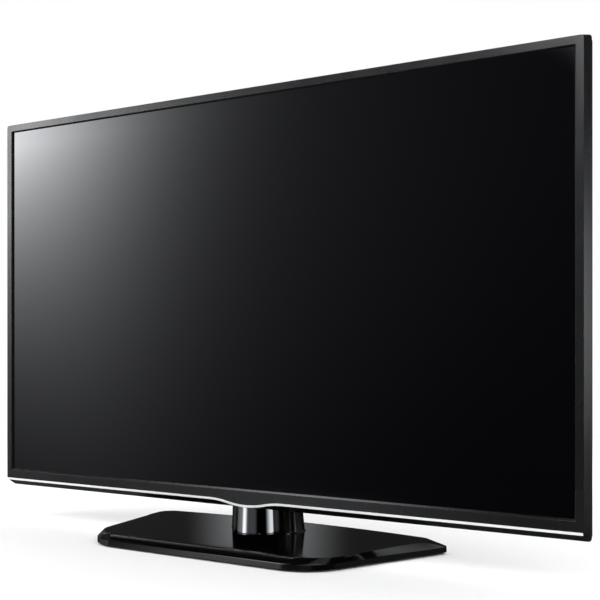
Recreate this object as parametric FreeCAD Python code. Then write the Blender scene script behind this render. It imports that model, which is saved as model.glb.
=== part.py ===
import FreeCAD, Part
import math
import os

# A free-standing 50-inch-class flat screen television on a swivelling pedestal.
# All sizes are in millimetres. +X runs to the viewer's right, +Y from the screen to the back
# and +Z up. The pieces are made with the screen frame's front face at y = 0, and moved at the
# end so that the origin is on the floor under the middle of the pedestal's base.

Vector = FreeCAD.Vector

# Screen frame
face_half_width = 580.3
face_height = 685.0
lip_height = 60.0
lip_drop = 15.0
frame_depth = 20.7
frame_flare = 4.1
frame_wall = 2.5
front_wall = 4.0
frame_corner_radius = 5.0
bezel_side = 12.0
bezel_bottom = 15.0
reveal = 2.3
reveal_bottom = 3.0
opening_corner_radius = 1.2
trim_height = 3.8
trim_depth = 2.0
trim_proud = 0.4
trim_end_gap = 1.2
trim_under = 2.0
chin_drop = 8.0
chin_half_width = 75.0
chin_lap = 1.5

# Glass, display panel and the plate that carries them
filter_thickness = 2.8
filter_edge_gap = 4.0
gasket_thickness = 2.0
gasket_width = 12.0
panel_sheet = 2.8
rear_sheet_step = 6.0
heat_pad_thickness = 1.0
heat_pad_margin = 25.0
spacer_width = 6.0
spacer_gap = 0.5
chassis_thickness = 2.0
chassis_edge_gap = 3.0

# Back cover
set_depth = 57.0
cover_wall = 2.0
cover_inset = 1.5
cover_rim_depth = 6.3
cover_ring = 27.0
cover_slope = 22.0
cover_corner_radius = 8.0
pocket_half_width = 84.0
vent_width = 3.0
vent_height = 24.0
vent_pitch = 9.0
vent_edge = 18.0
vent_rows = 2
vent_row_gap = 8.0
vent_side_margin = 73.9
low_vent_start = 100.0
low_vent_end_gap = 35.0

# Fasteners
cover_screw_radius = 1.9
cover_screw_head = 4.0
cover_screw_head_height = 2.2
screw_clearance = 0.2
boss_wall = 3.0
top_screw_count = 7
side_screw_count = 4
screw_edge = 18.0
neck_screw_radius = 2.9
neck_screw_head = 5.5
neck_screw_head_height = 3.0
neck_screw_half_x = 45.0
neck_screw_low = 36.0
neck_screw_rise = 62.0

# Wall mounting rails, 400 by 400 hole pattern for M6 screws
wall_pattern = 400.0
wall_thread_radius = 3.0
wall_insert_radius = 6.0
wall_insert_length = 16.0
wall_pattern_drop = 8.0
rail_width = 40.0
rail_wall = 2.0
rail_overrun = 50.0
insert_clearance = 0.5

# Circuit boards
board_thickness = 1.6
board_standoff = 8.0
low_board_standoff = 3.0
standoff_radius = 3.5
board_screw_radius = 1.4
board_screw_head = 2.8
board_screw_head_height = 1.6
board_corner = 6.0
board_gap = 15.0
board_margin = 12.0
power_board_bottom = 330.0
power_board_height = 280.0
control_board_width = 190.0
control_board_bottom = 215.0
control_board_height = 95.0
left_drive_width = 230.0
left_drive_bottom = 440.0
left_drive_height = 230.0
right_drive_bottom = 250.0
right_drive_height = 390.0
scan_board_width = 70.0
scan_board_margin = 13.9
scan_board_bottom = 210.0
scan_board_height = 450.0
address_board_height = 30.0
address_board_start = 100.0
address_board_margin = 13.9
address_connector_width = 28.0
address_connector_height = 6.0
address_connector_pitch = 60.0
address_connector_rise = 3.0
scan_chip_count = 5
scan_chip_pitch = 80.0
fin_thickness = 2.0
fin_pitch = 6.0
sink_base = 3.0
sensor_board_x = 260.0
sensor_board_width = 46.0
sensor_board_thickness = 1.2
sensor_board_height = 3.2
sensor_eye_radius = 1.2
sensor_eye_length = 3.0

# Connector bay, mains inlet and control stick on the back
bay_from_rail = 90.0
bay_width = 140.0
bay_bottom = 225.0
bay_height = 180.0
bay_depth = 16.0
bay_ledge = 5.0
jack_panel_thickness = 1.0
socket_clearance = 0.4
inlet_speaker_gap = 35.0
inlet_z = 160.0
inlet_width = 30.0
inlet_height = 22.0
inlet_wall = 2.8
inlet_depth = 20.0
inlet_floor = 4.0
inlet_pin_length = 11.0
inlet_pin_width = 2.0
inlet_pin_height = 4.0
inlet_pin_across = 7.0
inlet_pin_offset = 2.0
inlet_flange = 3.0
inlet_flange_thickness = 1.5
socket_column = 25.0
socket_top_gap = 25.0
socket_pitch = 27.0
phono_column = 70.0
phono_pitch = 22.0
phono_columns = 2
phono_rows = 5
hdmi_size = (16.0, 6.6)
usb_size = (15.0, 8.0)
lan_size = (17.0, 14.0)
optical_size = (12.0, 12.0)
lan_opening = (12.0, 8.4)
lan_pocket_depth = 11.0
socket_proud = 3.0
socket_shell = 0.8
socket_pocket = 9.0
tongue_thickness = 1.6
tongue_recess = 1.5
phono_radius = 4.3
phono_bore = 1.7
phono_flange = 7.0
phono_proud = 3.0
optical_recess = 1.5
antenna_radius = 4.7
antenna_bore = 1.5
antenna_proud = 6.0
stick_margin = 33.9
stick_z = 150.0
stick_pivot_depth = 13.0
stick_cap_radius = 7.0
stick_cap_height = 6.0
stick_cap_proud = 1.0
stick_dish_radius = 14.0
stick_dish_depth = 0.7
stick_stem_radius = 2.2
stick_fit = 0.05
stick_gap = 0.5
stick_lever_radius = 4.6
stick_pin_radius = 1.2
gimbal_wall = 2.4
gimbal_height = 4.0
stick_cup_depth = 5.1
stick_housing_wall = 2.4
stick_opening_radius = 12.0

# Loudspeakers
speaker_margin = 53.9
speaker_z = 156.0
speaker_half_width = 60.0
speaker_half_height = 26.0
speaker_wall = 2.0
speaker_depth = 28.0
cone_half_width = 42.0
cone_half_height = 18.0
cone_neck = 9.0
cone_depth = 9.0
cone_skin = 0.8
cone_gap = 0.5
cone_travel = 1.0
driver_flange = 4.0
driver_plate = 1.5
magnet_radius = 16.0
magnet_length = 8.0
grille_slot = 2.4
grille_pitch = 6.0

# Pedestal base
base_front = -142.0
base_back = 158.0
base_back_radius = 1650.0
base_half_width = 291.0
base_side_flare = 0.352
base_width_y = 57.0
base_front_radius = 76.0
base_back_corner = 14.0
base_foot_gap = 3.0
base_rim_top = 12.0
base_rim_bevel = 0.9
base_top = 19.5
plateau_front = -120.0
plateau_back = 155.0
plateau_half_width = 270.0
plateau_side_flare = 0.23
plateau_front_radius = 62.0
plateau_back_corner = 24.0
base_wall = 2.5
plate_thickness = 3.0
plate_edge_gap = 0.5
dish_radius = 44.0
dish_rise = 6.0
foot_radius = 11.0
foot_recess = 0.2
foot_inset = 22.0
foot_front_inset = 36.0
foot_back_inset = 72.0
foot_front_half = 195.0
foot_back_half = 280.0
base_boss_radius = 5.0
base_front_boss_inset = 15.0
base_back_boss_inset = 30.0
base_boss_count = 4
base_front_boss_half = 155.0
base_back_boss_half = 185.0
base_screw_radius = 1.6
base_screw_head = 3.6
base_screw_head_height = 1.8
base_screw_end_gap = 2.5

# Swivel bearing and neck
swivel_y = 50.0
swivel_angle = 20.0
spindle_radius = 12.0
spindle_fit = 0.05
sleeve_wall = 4.0
sleeve_flange = 5.0
sleeve_flange_thickness = 2.0
washer_wall = 9.0
washer_gap = 0.3
lower_washer_thickness = 1.5
nut_across_corners = 34.0
nut_height = 3.4
nut_thread_radius = 10.0
nut_thread_gap = 0.05
turning_gap = 0.4
core_foot_radius = 30.0
core_foot_thickness = 5.0
stop_pin_radius = 2.0
stop_pin_circle = 25.5
stop_gap = 0.3
post_half_width = 29.0
post_depth = 12.0
post_front = 38.0
core_half_width = 70.0
core_rise = 128.0
bracket_half_width = 80.0
bracket_wall = 3.0
bracket_rise = 12.0
tube_centre_y = 34.0
tube_radius = 33.3
tube_wall = 1.5
tube_gap = 0.3
tube_top = 62.7
cheek_front = 40.0
cheek_back = 92.0
cheek_half_front = 65.0
cheek_half_back = 70.0
cheek_front_radius = 14.0
cheek_back_radius = 24.0
cheek_taper_side = 2.5
cheek_taper_back = 5.0
cheek_wall = 2.5
cheek_skirt = 1.6
cheek_skirt_height = 1.6

# Parts on the boards: the board, the place from its middle, and the width, height and rise.
transformers = [
    ("power_board", -95.0, -70.0, 46.0, 42.0, 22.0),
    ("power_board", -20.0, -70.0, 40.0, 38.0, 22.0),
    ("power_board", 60.0, -75.0, 34.0, 30.0, 20.0),
]
heat_sinks = [
    ("power_board", -110.0, 0.0, 70.0, 12.0, 23.0),
    ("power_board", 0.0, 0.0, 80.0, 12.0, 23.0),
    ("power_board", 95.0, 0.0, 60.0, 12.0, 23.0),
    ("sustain_board_left", 0.0, 55.0, 150.0, 26.0, 22.0),
    ("sustain_board_left", 0.0, -45.0, 120.0, 26.0, 22.0),
    ("sustain_board_right", 0.0, 135.0, 120.0, 30.0, 22.0),
    ("sustain_board_right", 0.0, -25.0, 130.0, 30.0, 22.0),
    ("main_board", 85.0, -15.0, 36.0, 36.0, 12.0),
]
chips = [
    ("control_board", -20.0, 0.0, 30.0, 30.0, 3.0),
    ("control_board", 50.0, 0.0, 20.0, 20.0, 3.0),
    ("main_board", 85.0, 65.0, 20.0, 20.0, 2.0),
]
chips += [("scan_drive_board", 0.0, scan_chip_pitch * (at - (scan_chip_count - 1) / 2), 24.0, 14.0, 3.0)
          for at in range(scan_chip_count)]
capacitors = [
    ("power_board", -60.0, 70.0, 14.0, 22.0),
    ("power_board", -20.0, 70.0, 14.0, 22.0),
    ("power_board", 60.0, 75.0, 11.0, 20.0),
    ("power_board", 100.0, 75.0, 11.0, 20.0),
    ("power_board", 120.0, -80.0, 11.0, 20.0),
    ("sustain_board_left", -45.0, 5.0, 12.0, 20.0),
    ("sustain_board_left", 45.0, 5.0, 12.0, 20.0),
    ("sustain_board_right", -40.0, 55.0, 12.0, 20.0),
    ("sustain_board_right", 40.0, 55.0, 12.0, 20.0),
]
tuner = ("main_board", 55.0, -65.0, 26.0, 38.0, 12.0)

# Heights and depths that follow from the sizes above
trim_top = lip_height + lip_drop
face_bottom = trim_top - trim_height
face_top = trim_top + face_height
rim_half_width = face_half_width + frame_flare
rim_top = face_top + frame_flare
gasket_y = front_wall + filter_thickness
panel_y = gasket_y + gasket_thickness
rear_sheet_y = panel_y + panel_sheet
heat_pad_y = rear_sheet_y + panel_sheet
chassis_y = heat_pad_y + heat_pad_thickness
chassis_back = chassis_y + chassis_thickness
board_y = chassis_back + board_standoff
board_back = board_y + board_thickness
address_board_y = chassis_back + low_board_standoff
address_board_low = trim_top + chassis_edge_gap + bezel_bottom
cover_rim_y = frame_depth + cover_rim_depth
crown_half_width = rim_half_width - cover_inset - cover_ring - cover_slope
cover_inside = set_depth - cover_wall
panel_centre_z = (trim_top + bezel_bottom + reveal_bottom + face_top - bezel_side - reveal) / 2
wall_centre_z = panel_centre_z - wall_pattern_drop
rail_edge = wall_pattern / 2 + rail_width / 2
bay_right = -rail_edge - bay_from_rail
bay_left = bay_right - bay_width
bay_top = bay_bottom + bay_height
bay_floor = set_depth - bay_depth
jack_panel_y = bay_floor - cover_wall
stick_x = crown_half_width - stick_margin
speaker_x = crown_half_width - speaker_margin - speaker_half_width
inlet_x = speaker_x - speaker_half_width - inlet_speaker_gap
low_vent_end = inlet_x - low_vent_end_gap
top_vent_half_width = crown_half_width - vent_side_margin
address_board_end = crown_half_width - address_board_margin
scan_board_right = crown_half_width - scan_board_margin
core_plate_bottom = lip_height + cover_inset + 2 * cover_wall

nodes = {}


def keep(name, solids):
    # One node holds one solid or a group of separate ones.
    if not isinstance(solids, list):
        solids = [solids]
    nodes[name] = solids[0] if len(solids) == 1 else Part.makeCompound(solids)


def block(x_range, y_range, z_range):
    low = Vector(x_range[0], y_range[0], z_range[0])
    return Part.makeBox(x_range[1] - x_range[0], y_range[1] - y_range[0], z_range[1] - z_range[0], low)


def rod(radius, start, end):
    span = end - start
    return Part.makeCylinder(radius, span.Length, start, span)


def tube(outer, inner, start, end):
    return rod(outer, start, end).cut(rod(inner, start, end))


def along_y(x, z, y_start, y_end):
    return Vector(x, y_start, z), Vector(x, y_end, z)


def upright_rod(radius, x, y, low, high):
    return rod(radius, Vector(x, y, low), Vector(x, y, high))


def around(middle, width):
    return middle - width / 2, middle + width / 2


def spread(start, end, count):
    # Evenly spaced positions from start to end, both included.
    return [start + (end - start) * step / (count - 1) for step in range(count)]


def upright_outline(half_width, bottom, top, y, radius):
    # Rounded rectangle standing in the plane at depth y.
    corners = [(1, bottom, -90), (1, top, 0), (-1, top, 90), (-1, bottom, 180)]
    edges = []
    last = None
    first = None
    for side, height, angle in corners:
        inward = radius if height == bottom else -radius
        centre = Vector(side * (half_width - radius), y, height + inward)
        turned = [math.radians(angle + part) for part in (0, 45, 90)]
        arc = [centre + Vector(radius * math.cos(a), 0, radius * math.sin(a)) for a in turned]
        if last is not None:
            edges.append(Part.makeLine(last, arc[0]))
        else:
            first = arc[0]
        edges.append(Part.Arc(*arc).toShape())
        last = arc[2]
    edges.append(Part.makeLine(last, first))
    return Part.Wire(edges)


def tapered_slab(front, rear, radius):
    # Solid between two upright rectangles, each given as (half width, bottom, top, y).
    wires = [upright_outline(*outline, radius) for outline in (front, rear)]
    return Part.makeLoft(wires, True, True)


def frame_outline(y, inset):
    # Section of the screen frame's outer form at depth y, moved inwards by inset.
    share = y / frame_depth
    slope = math.hypot(frame_depth, face_bottom - lip_height) / frame_depth
    half_width = face_half_width + frame_flare * share - inset
    bottom = face_bottom - (face_bottom - lip_height) * share + inset * slope
    return half_width, bottom, face_top + frame_flare * share - inset, y


def chin_curve(height):
    # The four arcs of the dip in the middle of the frame's lower edge, from left to right.
    half = chin_half_width / 2
    radius = (chin_half_width ** 2 + chin_drop ** 2) / (4 * chin_drop)
    sag = radius - math.sqrt(radius ** 2 - (half / 2) ** 2)
    tilt = chin_drop / chin_half_width * half / 2
    marks = [(-2 * half, 0), (-1.5 * half, -tilt + sag), (-half, -chin_drop / 2)]
    marks += [(-0.5 * half, -chin_drop + tilt - sag), (0, -chin_drop)]
    marks += [(-x, drop) for x, drop in reversed(marks[:-1])]
    points = [Vector(x, 0, height + drop) for x, drop in marks]
    return [Part.Arc(*points[at:at + 3]).toShape() for at in (0, 2, 4, 6)]


def chin_band(half_width, top, bottom, y_range):
    # Strip between two copies of the chin curve, carried on straight to both ends.
    edges = []
    for height in (top, bottom):
        left = Part.makeLine(Vector(-half_width, 0, height), Vector(-chin_half_width, 0, height))
        right = Part.makeLine(Vector(chin_half_width, 0, height), Vector(half_width, 0, height))
        edges += [left] + chin_curve(height) + [right]
    for side in (-half_width, half_width):
        edges.append(Part.makeLine(Vector(side, 0, top), Vector(side, 0, bottom)))
    face = Part.Face(Part.Wire(Part.__sortEdges__(edges)))
    strip = face.extrude(Vector(0, y_range[1] - y_range[0], 0))
    strip.translate(Vector(0, y_range[0], 0))
    return strip


def make_frame():
    front = frame_outline(0, 0)
    rear = frame_outline(frame_depth, 0)
    outer = tapered_slab(front, rear, frame_corner_radius)

    # The chin hangs below the straight lower edge and runs back down the sloping underside.
    side = Vector(chin_half_width, 0, face_bottom)
    lap = Vector(0, 0, chin_lap)
    left = Vector(-side.x, 0, side.z)
    chin_edges = chin_curve(face_bottom) + [Part.makeLine(side, side + lap)]
    chin_edges += [Part.makeLine(side + lap, left + lap), Part.makeLine(left + lap, left)]
    chin_face = Part.Face(Part.Wire(Part.__sortEdges__(chin_edges)))
    chin = chin_face.extrude(Vector(0, frame_depth, lip_height - face_bottom))
    room = block((-chin_half_width, chin_half_width), (0, frame_depth), (lip_height, face_bottom + chin_lap))
    outer = outer.fuse(chin.common(room))

    inner_front = frame_outline(front_wall, frame_wall)
    inner_rear = frame_outline(frame_depth + frame_wall, frame_wall)
    shell = outer.cut(tapered_slab(inner_front, inner_rear, frame_corner_radius))

    # Screen opening, narrowing towards the glass.
    opening_front = (face_half_width - bezel_side, trim_top + bezel_bottom, face_top - bezel_side, 0)
    half, low, high = opening_front[:3]
    opening_rear = (half - reveal, low + reveal_bottom, high - reveal, front_wall)
    shell = shell.cut(tapered_slab(opening_front, opening_rear, opening_corner_radius))

    # Seat of the bright trim strip, open below it, and room for the neck tube under the chin.
    trim_half = face_half_width - trim_end_gap
    trim_range = (-trim_proud, trim_depth)
    shell = shell.cut(chin_band(trim_half, trim_top, face_bottom - trim_under, trim_range))
    axis = Vector(0, tube_centre_y, 0)
    notch = rod(tube_radius + tube_gap, axis, axis + Vector(0, 0, tube_top + tube_gap))
    shell = shell.cut(notch)
    keep("front_frame", shell.removeSplitter())
    keep("trim_strip", chin_band(trim_half, trim_top, face_bottom, trim_range))


def frame_ring(edge_gap, width, y_range):
    # Rectangular ring inside the screen frame, edge_gap from the inner wall.
    half, bottom, top = frame_outline(front_wall, frame_wall)[:3]
    outer = block((-half + edge_gap, half - edge_gap), y_range, (bottom + edge_gap, top - edge_gap))
    gap = edge_gap + width
    inner = block((-half + gap, half - gap), y_range, (bottom + gap, top - gap))
    return outer.cut(inner)


def frame_sheet(side_gap, end_gap, y_range):
    half, bottom, top = frame_outline(front_wall, frame_wall)[:3]
    return block((-half + side_gap, half - side_gap), y_range, (bottom + end_gap, top - end_gap))


def make_display():
    filter_range = (front_wall, gasket_y)
    keep("filter_glass", frame_sheet(filter_edge_gap, filter_edge_gap, filter_range))
    panel_gap = chassis_edge_gap + spacer_width + spacer_gap
    keep("filter_gasket", frame_ring(panel_gap, gasket_width, (gasket_y, panel_y)))

    # The front sheet is the wider of the two and the rear sheet the taller, for their contacts.
    front_range = (panel_y, rear_sheet_y)
    keep("panel_front_glass", frame_sheet(panel_gap, panel_gap + rear_sheet_step, front_range))
    rear_range = (rear_sheet_y, heat_pad_y)
    keep("panel_rear_glass", frame_sheet(panel_gap + rear_sheet_step, panel_gap, rear_range))
    pad_gap = panel_gap + heat_pad_margin
    keep("heat_pad", frame_sheet(pad_gap, pad_gap, (heat_pad_y, chassis_y)))
    keep("spacer_frame", frame_ring(chassis_edge_gap, spacer_width, (gasket_y, chassis_y)))


def cover_screw_places():
    # Screws stand in the middle of the flat ring round the back cover.
    half = rim_half_width - cover_inset - screw_edge
    low = lip_height + cover_inset + screw_edge
    high = rim_top - cover_inset - screw_edge
    places = [(x, high) for x in spread(-half, half, top_screw_count)]
    rows = spread(low, high, side_screw_count + 1)[:-1]
    places += [(side * half, z) for side in (-1, 1) for z in rows]
    step = 2 * half / (top_screw_count - 1)
    inner = [half - step * at for at in range(1, top_screw_count // 2)]
    places += [(side * x, low) for side in (-1, 1) for x in inner]
    return places


def make_chassis():
    half, bottom, top = frame_outline(front_wall, frame_wall)[:3]
    gap = chassis_edge_gap
    plate = block((-half + gap, half - gap), (chassis_y, chassis_back), (bottom + gap, top - gap))
    boss_end = cover_rim_y - cover_wall
    bosses = []
    bores = []
    for x, z in cover_screw_places():
        bosses.append(rod(cover_screw_radius + boss_wall, *along_y(x, z, chassis_back, boss_end)))
        bores.append(rod(cover_screw_radius + screw_clearance, *along_y(x, z, chassis_y, boss_end)))
    keep("chassis_plate", plate.fuse(bosses).cut(Part.makeCompound(bores)).removeSplitter())

    screws = []
    for x, z in cover_screw_places():
        shank = rod(cover_screw_radius, *along_y(x, z, chassis_back, cover_rim_y))
        head_end = cover_rim_y + cover_screw_head_height
        screws.append(shank.fuse(rod(cover_screw_head, *along_y(x, z, cover_rim_y, head_end))))
    keep("cover_screws", screws)


def cover_form(wall):
    # Outer form of the back cover, or with a wall its inside.
    rim_half = rim_half_width - cover_inset - wall
    rim_low = lip_height + cover_inset + wall
    rim_high = rim_top - cover_inset - wall
    start = frame_depth - wall
    radius = cover_corner_radius - wall
    rim_rear = cover_rim_y - wall
    rear = set_depth - wall
    rim = tapered_slab((rim_half, rim_low, rim_high, start), (rim_half, rim_low, rim_high, rim_rear), radius)
    step = cover_ring
    foot = (rim_half - step, rim_low + step, rim_high - step, start)
    knee = (rim_half - step, rim_low + step, rim_high - step, rim_rear)
    step += cover_slope
    crown = (rim_half - step, rim_low + step, rim_high - step, rear)
    hump = tapered_slab(knee, crown, radius)
    stem = tapered_slab(foot, knee, radius)
    pocket_half = pocket_half_width - wall
    pocket_top = rim_low + cover_ring + cover_slope + wall
    pocket = block((-pocket_half, pocket_half), (start, rear), (rim_low, pocket_top))
    return rim.fuse([stem, hump, pocket])


def vent_slots():
    slots = []
    through = (cover_inside - cover_wall, set_depth + cover_wall)
    pitch = vent_height + vent_row_gap
    crown = cover_inset + cover_ring + cover_slope + vent_edge
    high = rim_top - crown
    low = lip_height + crown
    for row in range(vent_rows):
        top = high - row * pitch
        for x in spread(0, top_vent_half_width, int(top_vent_half_width / vent_pitch) + 1):
            sides = (-x, x) if x > 0 else (x,)
            for at in sides:
                slots.append(block(around(at, vent_width), through, (top - vent_height, top)))
    count = int((low_vent_end - low_vent_start) / vent_pitch) + 1
    for x in spread(low_vent_start, low_vent_end, count):
        for at in (-x, x):
            slots.append(block(around(at, vent_width), through, (low, low + vent_height)))
    for side in (-1, 1):
        rows = int(2 * cone_half_height / grille_pitch) + 1
        for z in spread(speaker_z - cone_half_height, speaker_z + cone_half_height, rows):
            lift = (z - speaker_z) / (cone_half_height + grille_slot)
            reach = cone_half_width * math.sqrt(1 - lift ** 2)
            ends = (side * speaker_x - reach, side * speaker_x + reach)
            slots.append(block(ends, through, around(z, grille_slot)))
    return Part.makeCompound(slots)


def wall_insert_places():
    reach = wall_pattern / 2
    return [(x, wall_centre_z + z) for x in (-reach, reach) for z in (-reach, reach)]


def neck_screw_places():
    low = lip_height + neck_screw_low
    heights = (low, low + neck_screw_rise)
    return [(x, z) for x in (-neck_screw_half_x, neck_screw_half_x) for z in heights]


def make_back_cover():
    shell = cover_form(0).cut(cover_form(cover_wall))

    # The connector bay is a well with a ledge round its open floor.
    well = block((bay_left - cover_wall, bay_right + cover_wall), (jack_panel_y, set_depth),
                 (bay_bottom - cover_wall, bay_top + cover_wall))
    shell = shell.fuse(well)
    room = block((bay_left, bay_right), (bay_floor, set_depth + cover_wall), (bay_bottom, bay_top))
    shell = shell.cut(room)
    shell = shell.cut(block((bay_left + bay_ledge, bay_right - bay_ledge), (jack_panel_y, bay_floor),
                            (bay_bottom + bay_ledge, bay_top - bay_ledge)))

    through = (cover_inside - cover_wall, set_depth + cover_wall)
    cuts = [vent_slots()]
    for x, z in wall_insert_places():
        cuts.append(rod(wall_insert_radius + insert_clearance, *along_y(x, z, *through)))
    for x, z in neck_screw_places():
        cuts.append(rod(neck_screw_radius + screw_clearance, *along_y(x, z, *through)))
    ring_range = (frame_depth, cover_rim_y + cover_wall)
    for x, z in cover_screw_places():
        cuts.append(rod(cover_screw_radius + screw_clearance, *along_y(x, z, *ring_range)))
    cuts.append(rod(stick_opening_radius, *along_y(stick_x, stick_z, *through)))
    gap = 2 * socket_clearance
    cuts.append(block(around(inlet_x, inlet_width + gap), through, around(inlet_z, inlet_height + gap)))

    # Way in for the neck's post and tube, through the floor of the pocket.
    floor = (lip_height, core_plate_bottom)
    post_gap = turning_gap + screw_clearance
    cuts.append(block((-post_half_width - post_gap, post_half_width + post_gap),
                      (post_front - post_gap, post_front + post_depth + post_gap), floor))
    axis = Vector(0, tube_centre_y, 0)
    tube_room = rod(tube_radius + tube_gap, axis, axis + Vector(0, 0, tube_top + tube_gap))
    front_room = block((-2 * tube_radius, 2 * tube_radius), (0, cheek_front), (0, 2 * tube_top))
    cuts.append(tube_room.common(front_room))
    keep("back_cover", shell.cut(cuts).removeSplitter())


def make_rails():
    # Two vertical hat rails carry the threaded inserts of the wall pattern.
    reach = wall_pattern / 2
    low = wall_centre_z - reach - rail_overrun
    high = wall_centre_z + reach + rail_overrun
    crest = set_depth - wall_insert_length
    rails = []
    for x in (-reach, reach):
        outer = block(around(x, rail_width), (chassis_back, crest), (low, high))
        hollow = rail_width - 2 * rail_wall
        inner = block(around(x, hollow), (chassis_back, crest - rail_wall), (low, high))
        rails.append(outer.cut(inner))
    holes = [rod(wall_thread_radius, *along_y(x, z, chassis_back, crest)) for x, z in wall_insert_places()]
    keep("wall_rails", [rail.cut(Part.makeCompound(holes)) for rail in rails])
    inserts = [tube(wall_insert_radius, wall_thread_radius, *along_y(x, z, crest, set_depth))
               for x, z in wall_insert_places()]
    keep("wall_inserts", inserts)


def make_neck_bracket():
    # Steel channel on the chassis plate that the neck's core is screwed to.
    low = lip_height + lip_drop + chassis_edge_gap
    high = lip_height + core_rise + bracket_rise
    outer = block((-bracket_half_width, bracket_half_width), (chassis_back, post_front), (low, high))
    half = bracket_half_width - bracket_wall
    inner = block((-half, half), (chassis_back, post_front - bracket_wall), (low, high))
    holes = [rod(neck_screw_radius + screw_clearance, *along_y(x, z, chassis_back, post_front))
             for x, z in neck_screw_places()]
    keep("neck_bracket", outer.cut(inner).cut(Part.makeCompound(holes)))


def board_places():
    # Each board's left, right, bottom and top edge, clear of the rails and the connector bay.
    inner = wall_pattern / 2 - rail_width / 2 - board_gap
    outer = rail_edge + board_gap
    scan_left = scan_board_right - scan_board_width
    half = control_board_width / 2
    return {
        "power_board": (-inner, inner, power_board_bottom, power_board_bottom + power_board_height),
        "main_board": (bay_left - board_margin, -outer, bay_bottom - board_margin, bay_top + board_margin),
        "control_board": (-half, half, control_board_bottom, control_board_bottom + control_board_height),
        "sustain_board_left": (-outer - left_drive_width, -outer, left_drive_bottom,
                               left_drive_bottom + left_drive_height),
        "sustain_board_right": (outer, scan_left - board_gap, right_drive_bottom,
                                right_drive_bottom + right_drive_height),
        "scan_drive_board": (scan_left, scan_board_right, scan_board_bottom,
                             scan_board_bottom + scan_board_height),
    }


boards = board_places()


def board_corners(name):
    left, right, bottom, top = boards[name]
    inset = board_corner
    return [(x, z) for x in (left + inset, right - inset) for z in (bottom + inset, top - inset)]


def make_boards():
    standoffs = []
    screws = []
    for name, (left, right, bottom, top) in boards.items():
        sheet = block((left, right), (board_y, board_back), (bottom, top))
        holes = []
        for x, z in board_corners(name):
            holes.append(rod(board_screw_radius + screw_clearance, *along_y(x, z, board_y, board_back)))
            bore = board_screw_radius + screw_clearance
            standoffs.append(tube(standoff_radius, bore, *along_y(x, z, chassis_back, board_y)))
            shank = rod(board_screw_radius, *along_y(x, z, chassis_back, board_back))
            head_end = board_back + board_screw_head_height
            screws.append(shank.fuse(rod(board_screw_head, *along_y(x, z, board_back, head_end))))
        keep(name, sheet.cut(Part.makeCompound(holes)))
    for side in (-1, 1):
        for x in (address_board_start + board_corner, address_board_end - board_corner):
            middle = address_board_low + address_board_height / 2
            ends = along_y(side * x, middle, chassis_back, address_board_y)
            standoffs.append(rod(standoff_radius, *ends))
    keep("board_standoffs", standoffs)
    keep("board_screws", screws)


def board_middle(name):
    left, right, bottom, top = boards[name]
    return (left + right) / 2, (bottom + top) / 2


def box_parts(places):
    parts = []
    for board, across, up, width, height, rise in places:
        x = board_middle(board)[0] + across
        z = board_middle(board)[1] + up
        parts.append(block(around(x, width), (board_back, board_back + rise), around(z, height)))
    return parts


def finned_sinks(places):
    # Extruded heat sinks: a base on the board and upright fins.
    sinks = []
    for board, across, up, width, height, rise in places:
        x = board_middle(board)[0] + across
        z = board_middle(board)[1] + up
        floor = (board_back, board_back + sink_base)
        high = (board_back, board_back + rise)
        upright = around(z, height)
        body = block(around(x, width), floor, upright)
        count = int((width - fin_thickness) / fin_pitch) + 1
        fins = [block(around(at, fin_thickness), high, upright)
                for at in spread(*around(x, width - fin_thickness), count)]
        sinks.append(body.fuse(fins).removeSplitter())
    return sinks


def make_board_parts():
    keep("power_transformers", box_parts(transformers))
    keep("heat_sinks", finned_sinks(heat_sinks))
    keep("board_chips", box_parts(chips))
    cans = []
    for board, across, up, radius, rise in capacitors:
        x = board_middle(board)[0] + across
        z = board_middle(board)[1] + up
        cans.append(rod(radius, *along_y(x, z, board_back, board_back + rise)))
    keep("board_capacitors", cans)
    keep("tuner_can", box_parts([tuner]))

    # Address boards lie low along the bottom of the chassis plate.
    low = address_board_low
    sheets = []
    rise = address_board_y + board_thickness
    for side in (-1, 1):
        ends = sorted((side * address_board_start, side * address_board_end))
        sheet = block(ends, (address_board_y, rise), (low, low + address_board_height))
        count = int((address_board_end - address_board_start) / address_connector_pitch)
        first = ends[0] + address_connector_pitch / 2
        for at in range(count):
            x = first + at * address_connector_pitch
            upright = (low, low + address_connector_height)
            depth = (rise, rise + address_connector_rise)
            sheet = sheet.fuse(block(around(x, address_connector_width), depth, upright))
        sheets.append(sheet.removeSplitter())
    keep("address_boards", sheets)

    # The remote receiver sits behind the band under the screen.
    low = frame_outline(front_wall, frame_wall)[1]
    eye_y = front_wall + sensor_board_thickness
    eye_z = low + sensor_eye_radius
    upright = (low, low + sensor_board_height)
    board = block(around(sensor_board_x, sensor_board_width), (front_wall, eye_y), upright)
    eye = rod(sensor_eye_radius, *along_y(sensor_board_x, eye_z, eye_y, eye_y + sensor_eye_length))
    keep("remote_receiver", board.fuse(eye))


def socket_place(row):
    # Sockets stand in one column down the bay, counted from its top.
    return bay_left + socket_column, bay_top - socket_top_gap - row * socket_pitch


def phono_places():
    top = bay_top - socket_top_gap
    return [(bay_left + phono_column + column * phono_pitch, top - row * phono_pitch)
            for column in range(phono_columns) for row in range(phono_rows)]


hdmi_places = [socket_place(0), socket_place(1)]
usb_place = socket_place(2)
lan_place = socket_place(3)
optical_place = socket_place(4)
antenna_place = socket_place(5)


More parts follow.
